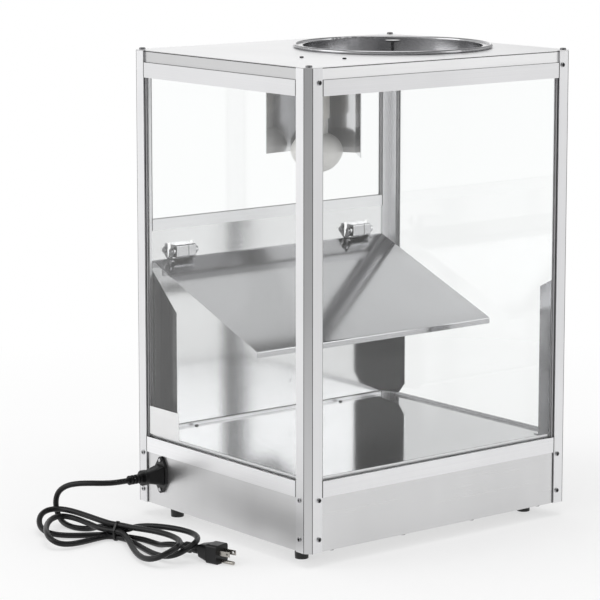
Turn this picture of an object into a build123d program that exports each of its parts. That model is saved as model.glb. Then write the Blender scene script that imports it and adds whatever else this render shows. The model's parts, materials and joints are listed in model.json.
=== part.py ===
from build123d import *
import math
import os

os.makedirs("parts", exist_ok=True)

# A heated glass display cabinet for corn chips, filled through the lid and emptied at the front door.
# Millimetres. +Z up, door towards -Y, right side towards +X, origin on the counter under the middle.

# Cabinet
WIDTH = 450.0
DEPTH = 372.0
POST_HEIGHT = 612.0
FOOT_HEIGHT = 19.0

# Corner post section
SKIN = 2.5
SLOT = 6.0
INNER_LEG = 2.0
FLANGE = 23.5
CHAMFER = 7.6
CORE = 12.5
POST_BORE_IN = 9.2
POST_BORE_R = 2.1

# Rails, heights above the foot of the posts
TOP_RAIL_H = 20.0
TOP_STRIP_H = 15.0
BASE_RAIL_Z = 70.5
BASE_RAIL_H = 20.7
BASE_LIP_H = 4.3
DOOR_TOP_RISE = 328.0
MID_RAIL_Z = DOOR_TOP_RISE + 40.0
MID_RAIL_H = 15.0
GLASS_BITE = 8.0
LEDGE_REACH = 12.5
SEAM = 0.4
TAB = 10.0

# Glass and seals
GLASS = 4.0
EDGE_ROOM = 1.0
SEAL_REACH = 3.0

# Sheet metal
SHEET = 1.2
THIN_SHEET = 1.0
FIT = 0.2
RUNNING = 0.05

# Fasteners
FRAME_SCREW_R = 1.75
FRAME_SCREW_IN = 18.3
SIDE_SCREW_IN = 16.1
FRAME_HEAD_R = 3.2
FRAME_HEAD_H = 1.6
FRAME_SCREW_L = 5.5
SKIRT_SCREW_LOW = 17.2
SKIRT_SCREW_HIGH = 67.8
RAIL_SCREW_DROP = 18.0
POST_HEAD_R = 4.25
POST_HEAD_H = 2.4
POST_SCREW_L = 22.0
SMALL_HEAD_R = 2.6
SMALL_HEAD_H = 1.6
SMALL_SCREW_R = 1.5
SMALL_SCREW_L = 9.0
BASE_SCREW_R = 2.5
BASE_HEAD_R = 3.5
BASE_HEAD_H = 2.6
BASE_SCREW_L = 17.4
RIVET_R = 1.5
RIVET_HEAD_R = 2.4
RIVET_HEAD_H = 0.8

# Derived levels and planes
Z0 = FOOT_HEIGHT
POST_TOP = Z0 + POST_HEIGHT
RAIL_D = SKIN + SLOT + INNER_LEG
GLASS_D = SKIN + (SLOT - GLASS) / 2
TOP_RAIL_Z1 = POST_TOP - TOP_STRIP_H
TOP_RAIL_Z0 = TOP_RAIL_Z1 - TOP_RAIL_H
TOP_SLOT_Z = TOP_RAIL_Z0 + GLASS_BITE + EDGE_ROOM
BASE_Z0 = Z0 + BASE_RAIL_Z
BASE_Z1 = BASE_Z0 + BASE_RAIL_H
BASE_SLOT_Z = BASE_Z1 - GLASS_BITE
LIP_Z = BASE_Z1 + BASE_LIP_H
MID_Z0 = Z0 + MID_RAIL_Z
MID_Z1 = MID_Z0 + MID_RAIL_H
MID_SLOT_Z = MID_Z1 - GLASS_BITE
PAN_RISE = 0.8
PAN_Z1 = BASE_Z1 + PAN_RISE
PAN_Z0 = PAN_Z1 - THIN_SHEET
LEDGE_T = 2.0
LEDGE_D = RAIL_D + LEDGE_REACH
COVER_Z = POST_TOP + THIN_SHEET

NORMAL = {"front": (0, -1), "rear": (0, 1), "right": (1, 0), "left": (-1, 0)}
ALONG = {"front": (1, 0), "rear": (1, 0), "right": (0, 1), "left": (0, 1)}
HALF = {"front": DEPTH / 2, "rear": DEPTH / 2, "right": WIDTH / 2, "left": WIDTH / 2}
SPAN = {"front": WIDTH / 2, "rear": WIDTH / 2, "right": DEPTH / 2, "left": DEPTH / 2}
LONG_WALLS = ("front", "rear")
SHORT_WALLS = ("right", "left")
WALLS = LONG_WALLS + SHORT_WALLS
CORNERS = {"front_left": (-1, -1), "front_right": (1, -1), "rear_left": (-1, 1), "rear_right": (1, 1)}


def save(name, shape):
    export_step(shape, f"parts/{name}.step")


def group(solids):
    return Compound(children=[s for part in solids for s in part.solids()])


def prism(points, direction, length):
    # a closed outline of 3-D points, pushed along a direction
    return extrude(make_face(Polyline(*points, close=True)), amount=length, dir=direction)


def block(x0, x1, y0, y1, z0, z1):
    return Pos((x0 + x1) / 2, (y0 + y1) / 2, (z0 + z1) / 2) * Box(x1 - x0, y1 - y0, z1 - z0)


def rod(start, end, radius, end_radius=None):
    # a round bar, or a cone when the end radius differs
    axis = Vector(end) - Vector(start)
    seat = Plane(origin=start, z_dir=axis)
    at_foot = (Align.CENTER, Align.CENTER, Align.MIN)
    if end_radius is None:
        return seat * Cylinder(radius, axis.length, align=at_foot)
    return seat * Cone(radius, end_radius, axis.length, align=at_foot)


def turned(points, axis_x, axis_y):
    # a closed outline of radius and height, turned about an upright axis
    outline = Polyline(*[(r, 0, z) for r, z in points], close=True)
    return Pos(axis_x, axis_y, 0) * revolve(make_face(outline), Axis.Z, 360)


def tube(points, radii, radius):
    path = FilletPolyline(*points, radius=radii)
    start = path @ 0
    profile = Plane(origin=start, z_dir=path % 0) * Circle(radius)
    return sweep(profile, path=path)


def wall_point(wall, along, inset, z):
    # inset is measured inwards from the outer face of that wall
    nx, ny = NORMAL[wall]
    ax, ay = ALONG[wall]
    out = HALF[wall] - inset
    return (nx * out + ax * along, ny * out + ay * along, z)


def wall_bar(wall, outline, low, high):
    # an outline of (inset, z) points drawn out along the wall
    ax, ay = ALONG[wall]
    points = [wall_point(wall, low, inset, z) for inset, z in outline]
    return prism(points, (ax, ay, 0), high - low)


def wall_box(wall, low, high, inset0, inset1, z0, z1):
    outline = [(inset0, z0), (inset1, z0), (inset1, z1), (inset0, z1)]
    return wall_bar(wall, outline, low, high)


def wall_rod(wall, along, z, inset0, inset1, radius):
    return rod(wall_point(wall, along, inset0, z), wall_point(wall, along, inset1, z), radius)


def pan_screw(seat, outward, head_r, head_h, shank_r, shank_l):
    # a pan-head screw whose head sits on the seat point
    seat, outward = Vector(seat), Vector(outward)
    head = rod(seat, seat + outward * head_h, head_r)
    rim = head.edges().filter_by(GeomType.CIRCLE).sort_by_distance(seat + outward * head_h * 2)[0]
    head = fillet(rim, head_h * 0.45)
    return head + rod(seat - outward * shank_l, seat, shank_r)


def wall_screw(wall, along, z, inset, head_r, head_h, shank_r, shank_l):
    nx, ny = NORMAL[wall]
    return pan_screw(wall_point(wall, along, inset, z), (nx, ny, 0), head_r, head_h, shank_r, shank_l)


def end_of(wall):
    # the along-distance at which rails stop, just short of the post flange
    return SPAN[wall] - FLANGE - SEAM


def frame_screw_places():
    # wall, distance along it, height
    places = []
    for wall in LONG_WALLS:
        for side in (-1, 1):
            along = side * (SPAN[wall] - FRAME_SCREW_IN)
            for z in (Z0 + SKIRT_SCREW_LOW, Z0 + SKIRT_SCREW_HIGH, POST_TOP - RAIL_SCREW_DROP):
                places.append((wall, along, z))
    for wall in SHORT_WALLS:
        for side in (-1, 1):
            along = side * (SPAN[wall] - SIDE_SCREW_IN)
            for z in (Z0 + SKIRT_SCREW_LOW, Z0 + SKIRT_SCREW_HIGH):
                places.append((wall, along, z))
    return places


def frame_screw_holes(wall=None):
    holes = []
    for screw_wall, along, z in frame_screw_places():
        if wall in (None, screw_wall):
            holes.append(wall_rod(screw_wall, along, z, -1, SKIN + SLOT - 1, FRAME_SCREW_R + RUNNING))
    return holes


# Corner posts

def post(side_x, side_y):
    slot_in = SKIN + SLOT
    half = [(CHAMFER, 0), (FLANGE, 0), (FLANGE, SKIN), (CORE, SKIN), (CORE, slot_in),
            (FLANGE, slot_in), (FLANGE, RAIL_D), (CORE, RAIL_D)]
    outline = half + [(CORE, CORE)] + [(q, p) for p, q in reversed(half)]
    points = [(side_x * (WIDTH / 2 - p), side_y * (DEPTH / 2 - q), Z0) for p, q in outline]
    bar = prism(points, (0, 0, 1), POST_HEIGHT)
    bore_x, bore_y = post_bore(side_x, side_y)
    bar -= rod((bore_x, bore_y, Z0 - 1), (bore_x, bore_y, POST_TOP + 1), POST_BORE_R)
    return bar - [hole for hole in frame_screw_holes()]


def post_bore(side_x, side_y):
    return side_x * (WIDTH / 2 - POST_BORE_IN), side_y * (DEPTH / 2 - POST_BORE_IN)


# Rails

def tongue(wall, side, z0, z1):
    # the tab at a rail's end that enters the post's glass slot
    near = side * end_of(wall)
    far = side * (SPAN[wall] - FLANGE + TAB)
    low, high = min(near, far), max(near, far)
    return wall_box(wall, low, high, SKIN + RUNNING, SKIN + SLOT - RUNNING, z0, z1)


def top_rail(wall):
    slot_in = SKIN + SLOT
    outline = [(0, TOP_RAIL_Z0), (SKIN, TOP_RAIL_Z0), (SKIN, TOP_SLOT_Z), (slot_in, TOP_SLOT_Z),
               (slot_in, TOP_RAIL_Z0), (RAIL_D, TOP_RAIL_Z0), (RAIL_D, TOP_RAIL_Z1), (0, TOP_RAIL_Z1)]
    bar = wall_bar(wall, outline, -end_of(wall), end_of(wall))
    for side in (-1, 1):
        bar += tongue(wall, side, TOP_SLOT_Z, TOP_RAIL_Z1)
    if wall in LONG_WALLS:
        bar -= frame_screw_holes(wall)
    return bar


def base_rail(wall):
    slot_in = SKIN + SLOT
    outline = [(0, BASE_Z0), (RAIL_D, BASE_Z0), (RAIL_D, PAN_Z0 - LEDGE_T), (LEDGE_D, PAN_Z0 - LEDGE_T),
               (LEDGE_D, PAN_Z0), (RAIL_D, PAN_Z0), (RAIL_D, LIP_Z), (slot_in, LIP_Z),
               (slot_in, BASE_SLOT_Z), (SKIN, BASE_SLOT_Z), (SKIN, BASE_Z1), (0, BASE_Z1)]
    bar = wall_bar(wall, outline, -end_of(wall), end_of(wall))
    for side in (-1, 1):
        bar += tongue(wall, side, BASE_Z0, BASE_SLOT_Z)
    if wall in LONG_WALLS:
        bar -= [floor_screw_hole(x, y) for x, y in floor_screw_places()]
    return bar


def mid_rail():
    slot_in = SKIN + SLOT
    outline = [(0, MID_Z0), (RAIL_D, MID_Z0), (RAIL_D, MID_Z1), (slot_in, MID_Z1),
               (slot_in, MID_SLOT_Z), (SKIN, MID_SLOT_Z), (SKIN, MID_Z1), (0, MID_Z1)]
    bar = wall_bar("front", outline, -end_of("front"), end_of("front"))
    for side in (-1, 1):
        bar += tongue("front", side, MID_Z0, MID_SLOT_Z)
    return bar


# Glass, seals and setting strips

def pane(wall, slot_z):
    reach = SPAN[wall] - CORE - EDGE_ROOM
    low, high = slot_z + EDGE_ROOM, TOP_SLOT_Z - EDGE_ROOM
    return wall_box(wall, -reach, reach, GLASS_D, GLASS_D + GLASS, low, high)


def edge_seal(wall, side, z0, z1):
    # a rubber channel over one upright edge of a pane
    edge = SPAN[wall] - CORE
    glass_edge = edge - EDGE_ROOM
    mouth = SPAN[wall] - FLANGE - SEAL_REACH
    slot_in = SKIN + SLOT
    outline = [(edge, SKIN), (mouth, SKIN), (mouth, GLASS_D), (glass_edge, GLASS_D),
               (glass_edge, GLASS_D + GLASS), (mouth, GLASS_D + GLASS), (mouth, slot_in), (edge, slot_in)]
    points = [wall_point(wall, side * along, inset, z0) for along, inset in outline]
    return prism(points, (0, 0, 1), z1 - z0)


def glass_seals():
    seals = []
    for wall in WALLS:
        bottom, slot_z = (MID_Z1, MID_SLOT_Z) if wall == "front" else (BASE_Z1, BASE_SLOT_Z)
        for side in (-1, 1):
            seals.append(edge_seal(wall, side, bottom + FIT, TOP_RAIL_Z0 - FIT))
        reach = end_of(wall) - SEAM
        seals.append(wall_box(wall, -reach, reach, GLASS_D, GLASS_D + GLASS, slot_z, slot_z + EDGE_ROOM))
    return group(seals)


# Top cover with its turned-down strips

LID_X = -70.0
LID_HOLE_R = 124.0
CORNER_INSET = 0.2


def top_cover():
    points = []
    for side_x, side_y in ((1, 1), (-1, 1), (-1, -1), (1, -1)):
        corner = [(SKIN, FLANGE), (CORNER_INSET, FLANGE), (CORNER_INSET, CHAMFER),
                  (CHAMFER, CORNER_INSET), (FLANGE, CORNER_INSET), (FLANGE, SKIN)]
        if side_x * side_y < 0:
            corner.reverse()
        points += [(side_x * (WIDTH / 2 - p), side_y * (DEPTH / 2 - q), POST_TOP) for p, q in corner]
    cover = prism(points, (0, 0, 1), THIN_SHEET)
    for wall in WALLS:
        reach = SPAN[wall] - FLANGE + TAB
        cover += wall_box(wall, -reach, reach, SKIN, SKIN + THIN_SHEET, TOP_RAIL_Z1, POST_TOP)
    cover -= rod((LID_X, 0, POST_TOP - 1), (LID_X, 0, COVER_Z + 1), LID_HOLE_R)
    for side_x, side_y in CORNERS.values():
        x, y = post_bore(side_x, side_y)
        cover -= rod((x, y, POST_TOP - 1), (x, y, COVER_Z + 1), POST_BORE_R)
    for x, y in lamp_screw_places():
        cover -= rod((x, y, POST_TOP - 1), (x, y, COVER_Z + 1), SMALL_SCREW_R + RUNNING)
    return cover


# Lift-off lid: a dished pan with a beaded rim and a T-shaped knob

LID_BEAD_R = 2.5
LID_RIM_R = 134.0
LID_WALL_R = 122.0
LID_DROP = 12.0
KNOB_TOP_RISE = 9.0
KNOB_DISC_R = 9.75
KNOB_DISC_H = 2.0
KNOB_STEM_R = 2.4
KNOB_FOOT_R = 4.6
KNOB_FOOT_H = 4.0
KNOB_SCREW_R = 1.2
LID_FLOOR = COVER_Z - LID_DROP


def lid_pan():
    flange_z = COVER_Z + LID_BEAD_R
    bead_axis = LID_RIM_R - LID_BEAD_R
    outline = [(0, LID_FLOOR - THIN_SHEET), (LID_WALL_R, LID_FLOOR - THIN_SHEET),
               (LID_WALL_R, flange_z - THIN_SHEET), (bead_axis, flange_z - THIN_SHEET),
               (bead_axis, flange_z), (LID_WALL_R - THIN_SHEET, flange_z),
               (LID_WALL_R - THIN_SHEET, LID_FLOOR), (0, LID_FLOOR)]
    pan = turned(outline, LID_X, 0)
    bead = Pos(LID_X, 0, COVER_Z + LID_BEAD_R) * Torus(bead_axis, LID_BEAD_R)
    hole = rod((LID_X, 0, LID_FLOOR - 5), (LID_X, 0, LID_FLOOR + 5), KNOB_SCREW_R + RUNNING)
    return pan + bead - hole


def lid_knob():
    top = COVER_Z + KNOB_TOP_RISE
    outline = [(0, LID_FLOOR), (KNOB_FOOT_R, LID_FLOOR), (KNOB_STEM_R, LID_FLOOR + KNOB_FOOT_H),
               (KNOB_STEM_R, top - KNOB_DISC_H), (KNOB_DISC_R, top - KNOB_DISC_H),
               (KNOB_DISC_R, top), (0, top)]
    knob = turned(outline, LID_X, 0)
    bore = [(LID_X, 0, LID_FLOOR - 1), (LID_X, 0, LID_FLOOR + SMALL_SCREW_L)]
    return knob - rod(bore[0], bore[1], KNOB_SCREW_R + RUNNING)


def lid_knob_screw():
    seat = (LID_X, 0, LID_FLOOR - THIN_SHEET)
    return pan_screw(seat, (0, 0, -1), SMALL_HEAD_R, SMALL_HEAD_H, KNOB_SCREW_R, SMALL_SCREW_L)


# Lamp behind its bent shield, hung from the top cover

LAMP_SIDE = 106.5
LAMP_REAR = 101.8
LAMP_SCREW_MID = (WIDTH / 2 - LAMP_SIDE, DEPTH / 2 - LAMP_REAR)
LAMP_FACING = 31.0
LAMP_SCREW_HALF = 29.0
SHIELD_IN = 14.0
SHIELD_HALF = 38.0
SHIELD_WING = 55.0
SHIELD_FLARE = 26.0
SHIELD_H = 120.0
SHIELD_SHELF = 45.0
LAMP_OUT = 22.0
HOLDER_R = 15.0
HOLDER_H = 72.0
CAP_R = 13.0
CAP_H = 24.0
BULB_NECK_R = 12.7
BULB_NECK_H = 19.5
BULB_R = 32.3
BULB_H = 69.5
BULB_WALL = 1.0
BULB_SHOULDER = (28.0, 30.0)
BULB_WIDEST_Z = 42.0


def lamp_point(out, across, z):
    # out is away from the filling hole, across runs along the shield
    turn = math.radians(LAMP_FACING)
    x = LAMP_SCREW_MID[0] + out * math.cos(turn) - across * math.sin(turn)
    y = LAMP_SCREW_MID[1] + out * math.sin(turn) + across * math.cos(turn)
    return (x, y, z)


def lamp_screw_places():
    return [lamp_point(0, side * LAMP_SCREW_HALF, 0)[:2] for side in (-1, 1)]


def bent_strip(points, thickness):
    # an even strip to the right of an open line of 2-D points, mitred at its bends
    offset = []
    for index, point in enumerate(points):
        sides = []
        for start, end in zip(points[max(index - 1, 0):index + 1], points[max(index, 1):index + 2]):
            run = math.dist(start, end)
            sides.append(((end[1] - start[1]) / run, (start[0] - end[0]) / run))
        first, last = sides[0], sides[-1]
        scale = thickness / (1 + first[0] * last[0] + first[1] * last[1])
        offset.append((point[0] + scale * (first[0] + last[0]), point[1] + scale * (first[1] + last[1])))
    return points + offset[::-1]


def lamp_shield():
    z0 = POST_TOP - SHIELD_H
    flare = math.radians(SHIELD_FLARE)
    reach, spread = SHIELD_WING * math.cos(flare), SHIELD_WING * math.sin(flare)
    line = [(-SHIELD_IN + reach, SHIELD_HALF + spread), (-SHIELD_IN, SHIELD_HALF),
            (-SHIELD_IN, -SHIELD_HALF), (-SHIELD_IN + reach, -SHIELD_HALF - spread)]
    outline = bent_strip(line, THIN_SHEET)
    shield = prism([lamp_point(out, across, z0) for out, across in outline], (0, 0, 1), SHIELD_H)
    shelf = [lamp_point(out, across, POST_TOP - THIN_SHEET) for out, across in
             ((-SHIELD_IN, -SHIELD_HALF), (SHIELD_SHELF, -SHIELD_HALF),
              (SHIELD_SHELF, SHIELD_HALF), (-SHIELD_IN, SHIELD_HALF))]
    shield += prism(shelf, (0, 0, 1), THIN_SHEET)
    for x, y in lamp_screw_places():
        shield -= rod((x, y, POST_TOP - 5), (x, y, POST_TOP + 1), SMALL_SCREW_R + RUNNING)
    return shield


def lamp_holder():
    x, y, top = lamp_point(LAMP_OUT, 0, POST_TOP - THIN_SHEET)
    holder = rod((x, y, top - HOLDER_H), (x, y, top), HOLDER_R)
    mouth = rod((x, y, top - HOLDER_H - 1), (x, y, top - HOLDER_H + CAP_H + 1), CAP_R + RUNNING)
    return holder - mouth


def lamp_cap():
    x, y, top = lamp_point(LAMP_OUT, 0, POST_TOP - THIN_SHEET)
    foot = top - HOLDER_H
    cap = rod((x, y, foot), (x, y, foot + CAP_H - 3), CAP_R)
    return cap + rod((x, y, foot + CAP_H - 3), (x, y, foot + CAP_H + 1), CAP_R * 0.4)


def bulb_outline(shrink):
    # half section of the bulb, heights measured down from its cap, the dome a sphere about the axis
    neck = BULB_NECK_R - shrink
    wide = BULB_R - shrink
    depth = BULB_H - BULB_WIDEST_Z - shrink
    dome_r = (wide ** 2 + depth ** 2) / (2 * depth)
    centre = -BULB_WIDEST_Z - depth + dome_r
    half_turn = math.atan2(wide, centre + BULB_WIDEST_Z) / 2
    widest = (wide, 0, -BULB_WIDEST_Z)
    shoulder = (BULB_SHOULDER[0] - shrink * 0.75, 0, -BULB_SHOULDER[1] - shrink * 0.6)
    dome = (dome_r * math.sin(half_turn), 0, centre - dome_r * math.cos(half_turn))
    bottom = (0, 0, centre - dome_r)
    edges = [Line((0, 0, 0), (neck, 0, 0)), Line((neck, 0, 0), (neck, 0, -BULB_NECK_H)),
             ThreePointArc((neck, 0, -BULB_NECK_H), shoulder, widest),
             ThreePointArc(widest, dome, bottom), Line(bottom, (0, 0, 0))]
    return revolve(Face(Wire(edges)), Axis.Z, 360)


def lamp_bulb():
    x, y, top = lamp_point(LAMP_OUT, 0, POST_TOP - THIN_SHEET)
    return Pos(x, y, top - HOLDER_H) * (bulb_outline(0) - bulb_outline(BULB_WALL))


# Header plate, hinges and front door

DOOR_SIDE = 25.0
DOOR_HALF = WIDTH / 2 - DOOR_SIDE
DOOR_IN = 5.6
DOOR_GAP = 0.6
DOOR_RISE = 93.0
HEADER_LAP = 11.0
HEADER_RISE = DOOR_TOP_RISE - HEADER_LAP
DOOR_Z0 = Z0 + DOOR_RISE
DOOR_Z1 = Z0 + DOOR_TOP_RISE
HEADER_Z0 = Z0 + HEADER_RISE
HEADER_D = DOOR_IN + SHEET + DOOR_GAP
HEADER_D1 = HEADER_D + THIN_SHEET
HINGE_SIDE = 47.0
HINGE_X = DOOR_HALF - HINGE_SIDE
HINGE_HALF = 16.0
HINGE_DEPTH = 14.0
HINGE_H = 17.0
HINGE_ROUND = 2.5
GROOVE_X = 4.0
GROOVE_HALF = 0.5
HINGE_OVER_DOOR = 10.0
HINGE_RISE = DOOR_TOP_RISE + HINGE_OVER_DOOR
PIN_DEPTH = 8.0
HINGE_Z = Z0 + HINGE_RISE
HINGE_D = HEADER_D1 + PIN_DEPTH
PIN_R = 2.0
PIN_HEAD_R = 3.5
PIN_HEAD_H = 1.5
PIN_ROOM = 0.8
ARM_T = 3.0
ARM_GAP = 1.2
ARM_BOSS_R = 5.0
ARM_TAB_W = 11.0
ARM_TAB_T = 1.5
ARM_TAB_H = 11.0
ARM_DROP = 34.0
ARM_SLOT_SIDE = 1.0
ARM_FOOT_W = 3.5
ARM_NECK_DROP = 13.0
ARM_SHOULDER_DROP = 10.5
ARM_HEAD = (3.0, 4.0)
CHEEK_D = 63.5
CHEEK_HEEL_D = 50.0
CHEEK_TOP_DROP = 13.0
CHEEK_TOP_RISE = DOOR_TOP_RISE - CHEEK_TOP_DROP
CHEEK_SHOULDER_RISE = 260.9
CHEEK_REAR_RISE = 116.0
CHEEK_HEEL_RISE = 100.4
CHEEK_TOE_RISE = 96.5
PULL_HALF = 55.0
PULL_RISE = 112.0
PULL_Z0 = Z0 + PULL_RISE
PULL_H = 25.0
PULL_OUT = 11.6
PULL_LIP_H = 14.0
PULL_RIVET_X = 40.0
PULL_RIVET_RISE = 19.0
PULL_RIVET_Z = PULL_Z0 + PULL_RIVET_RISE


def arm_places():
    # centre X of each hinge arm, and the side on which its tab lies
    reach = HINGE_HALF + ARM_GAP + ARM_T / 2
    return [(centre + side * reach, side) for centre in (-HINGE_X, HINGE_X) for side in (-1, 1)]


def arm_slot(centre, inset0, inset1, z0, z1):
    half = ARM_T / 2 + ARM_SLOT_SIDE
    return wall_box("front", centre - half, centre + half, inset0, inset1, z0, z1)


def header_plate():
    reach = SPAN["front"] - FLANGE + TAB
    plate = wall_box("front", -reach, reach, HEADER_D, HEADER_D1, HEADER_Z0, MID_Z0)
    for centre, _ in arm_places():
        plate -= arm_slot(centre, HEADER_D - 1, HEADER_D1 + 1, HEADER_Z0 - 1, HINGE_Z + 2 * ARM_BOSS_R + 1)
    for x, z in header_rivet_places() + hinge_rivet_places():
        plate -= wall_rod("front", x, z, HEADER_D - 1, HEADER_D1 + 1, RIVET_R + RUNNING)
    return plate


def hinge_body(centre):
    low, high = centre - HINGE_HALF, centre + HINGE_HALF
    z0, z1 = HINGE_Z - HINGE_H / 2, HINGE_Z + HINGE_H / 2
    body = wall_box("front", low, high, HEADER_D1, HEADER_D1 + HINGE_DEPTH, z0, z1)
    rims = body.edges().filter_by(Axis.X).sort_by(Axis.Y)[-2:]
    body = fillet(rims, HINGE_ROUND)
    mark = centre - GROOVE_X
    face = HEADER_D1 + HINGE_DEPTH
    body -= wall_box("front", mark - GROOVE_HALF, mark + GROOVE_HALF, face - 1, face + 1, z0 - 1, z1 + 1)
    bore = [wall_point("front", x, HINGE_D, HINGE_Z) for x in (low - 1, high + 1)]
    body -= rod(bore[0], bore[1], PIN_R + RUNNING)
    for x, z in hinge_rivet_places():
        body -= wall_rod("front", x, z, HEADER_D, HINGE_D - PIN_R - 1, RIVET_R + RUNNING)
    return body


def hinge_pin(centre):
    reach = HINGE_HALF + ARM_GAP + ARM_T + PIN_ROOM
    ends = [wall_point("front", centre + s * reach, HINGE_D, HINGE_Z) for s in (-1, 1)]
    pin = rod(ends[0], ends[1], PIN_R)
    for end, side in zip(ends, (-1, 1)):
        tip = (end[0] + side * PIN_HEAD_H, end[1], end[2])
        pin += rod(end, tip, PIN_HEAD_R)
    return pin


def hinge_arm(centre, side):
    # the plate that turns on the pin and passes through the header to the door
    low = centre - ARM_T / 2
    door = DOOR_IN + SHEET
    foot = HINGE_Z - ARM_DROP
    head_d, head_z = ARM_HEAD
    outline = [(door, foot), (door + ARM_FOOT_W, foot), (door + ARM_FOOT_W, HINGE_Z - ARM_NECK_DROP),
               (HINGE_D + head_d, HINGE_Z - head_z), (HINGE_D - head_d, HINGE_Z + head_z),
               (door, HINGE_Z - ARM_SHOULDER_DROP)]
    arm = wall_bar("front", outline, low, low + ARM_T)
    pivot = [wall_point("front", x, HINGE_D, HINGE_Z) for x in (low, low + ARM_T)]
    arm += rod(pivot[0], pivot[1], ARM_BOSS_R)
    edge = centre - side * ARM_T / 2
    low_x, high_x = sorted((edge, edge + side * ARM_TAB_W))
    arm += wall_box("front", low_x, high_x, door, door + ARM_TAB_T, foot, foot + ARM_TAB_H)
    over = [wall_point("front", x, HINGE_D, HINGE_Z) for x in (low - 1, low + ARM_T + 1)]
    arm -= rod(over[0], over[1], PIN_R + RUNNING)
    rivet_x, rivet_z = arm_rivet_place(centre, side)
    return arm - wall_rod("front", rivet_x, rivet_z, door - 1, door + ARM_TAB_T + 1, RIVET_R + RUNNING)


def arm_rivet_place(centre, side):
    return centre + side * (ARM_TAB_W - ARM_T) / 2 + side * ARM_T / 2, HINGE_Z - ARM_DROP + ARM_TAB_H / 2


def door_cheek(side):
    outline = [(DOOR_IN, CHEEK_TOE_RISE), (DOOR_IN, CHEEK_TOP_RISE), (CHEEK_D, CHEEK_SHOULDER_RISE),
               (CHEEK_D, CHEEK_REAR_RISE), (CHEEK_HEEL_D, CHEEK_HEEL_RISE)]
    outline = [(inset, Z0 + rise) for inset, rise in outline]
    outer = side * DOOR_HALF
    low = min(outer, outer - side * SHEET)
    return wall_bar("front", outline, low, low + SHEET)


def door_panel():
    panel = wall_box("front", -DOOR_HALF, DOOR_HALF, DOOR_IN, DOOR_IN + SHEET, DOOR_Z0, DOOR_Z1)
    for side in (-1, 1):
        panel += door_cheek(side)
    for x, z in door_rivet_places():
        panel -= wall_rod("front", x, z, DOOR_IN - 1, DOOR_IN + SHEET + 1, RIVET_R + RUNNING)
    return panel


def door_pull():
    back = DOOR_IN - SHEET
    lip = DOOR_IN - PULL_OUT
    outline = [(DOOR_IN, PULL_Z0), (DOOR_IN, PULL_Z0 + PULL_H), (back, PULL_Z0 + PULL_H),
               (back, PULL_Z0 + SHEET), (lip + SHEET, PULL_Z0 + SHEET),
               (lip + SHEET, PULL_Z0 + PULL_LIP_H), (lip, PULL_Z0 + PULL_LIP_H), (lip, PULL_Z0)]
    pull = wall_bar("front", outline, -PULL_HALF, PULL_HALF)
    for side in (-1, 1):
        pull -= wall_rod("front", side * PULL_RIVET_X, PULL_RIVET_Z, back - 1, DOOR_IN + 1, RIVET_R + RUNNING)
    return pull


def door_rivet_places():
    places = [arm_rivet_place(centre, side) for centre, side in arm_places()]
    return places + [(side * PULL_RIVET_X, PULL_RIVET_Z) for side in (-1, 1)]


def rivet(x, z, inset0, inset1):
    # a two-headed rivet across the front wall
    body = wall_rod("front", x, z, inset0, inset1, RIVET_R)
    body += wall_rod("front", x, z, inset0 - RIVET_HEAD_H, inset0, RIVET_HEAD_R)
    return body + wall_rod("front", x, z, inset1, inset1 + RIVET_HEAD_H, RIVET_HEAD_R)


def door_rivets():
    inner = DOOR_IN + SHEET
    arms = [arm_rivet_place(centre, side) for centre, side in arm_places()]
    solids = [rivet(x, z, DOOR_IN, inner + ARM_TAB_T) for x, z in arms]
    for side in (-1, 1):
        solids.append(rivet(side * PULL_RIVET_X, PULL_RIVET_Z, DOOR_IN - SHEET, inner))
    return group(solids)


# Sloping baffle

BAFFLE_HALF = DOOR_HALF
BAFFLE_TIP_D = 240.5
BAFFLE_FALL = 91.0
BAFFLE_TIP_RISE = DOOR_TOP_RISE - BAFFLE_FALL
BAFFLE_TIP_Z = Z0 + BAFFLE_TIP_RISE
BAFFLE_LIP = 8.0
BAFFLE_BEND_R = 3.0
HEADER_RIVET_RISE = 3.2
HEADER_RIVET_Z = HEADER_Z0 + HEADER_RIVET_RISE
HEADER_RIVET_PITCH = 0.35 * DOOR_HALF
HEADER_RIVETS_X = tuple(step * HEADER_RIVET_PITCH for step in (-1.5, -0.5, 0.5, 1.5))


def round_bend(plate, inset, z, radius):
    bends = plate.edges().filter_by(Axis.X)
    return fillet(bends.sort_by_distance(wall_point("front", 0, inset, z))[0], radius)


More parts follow.
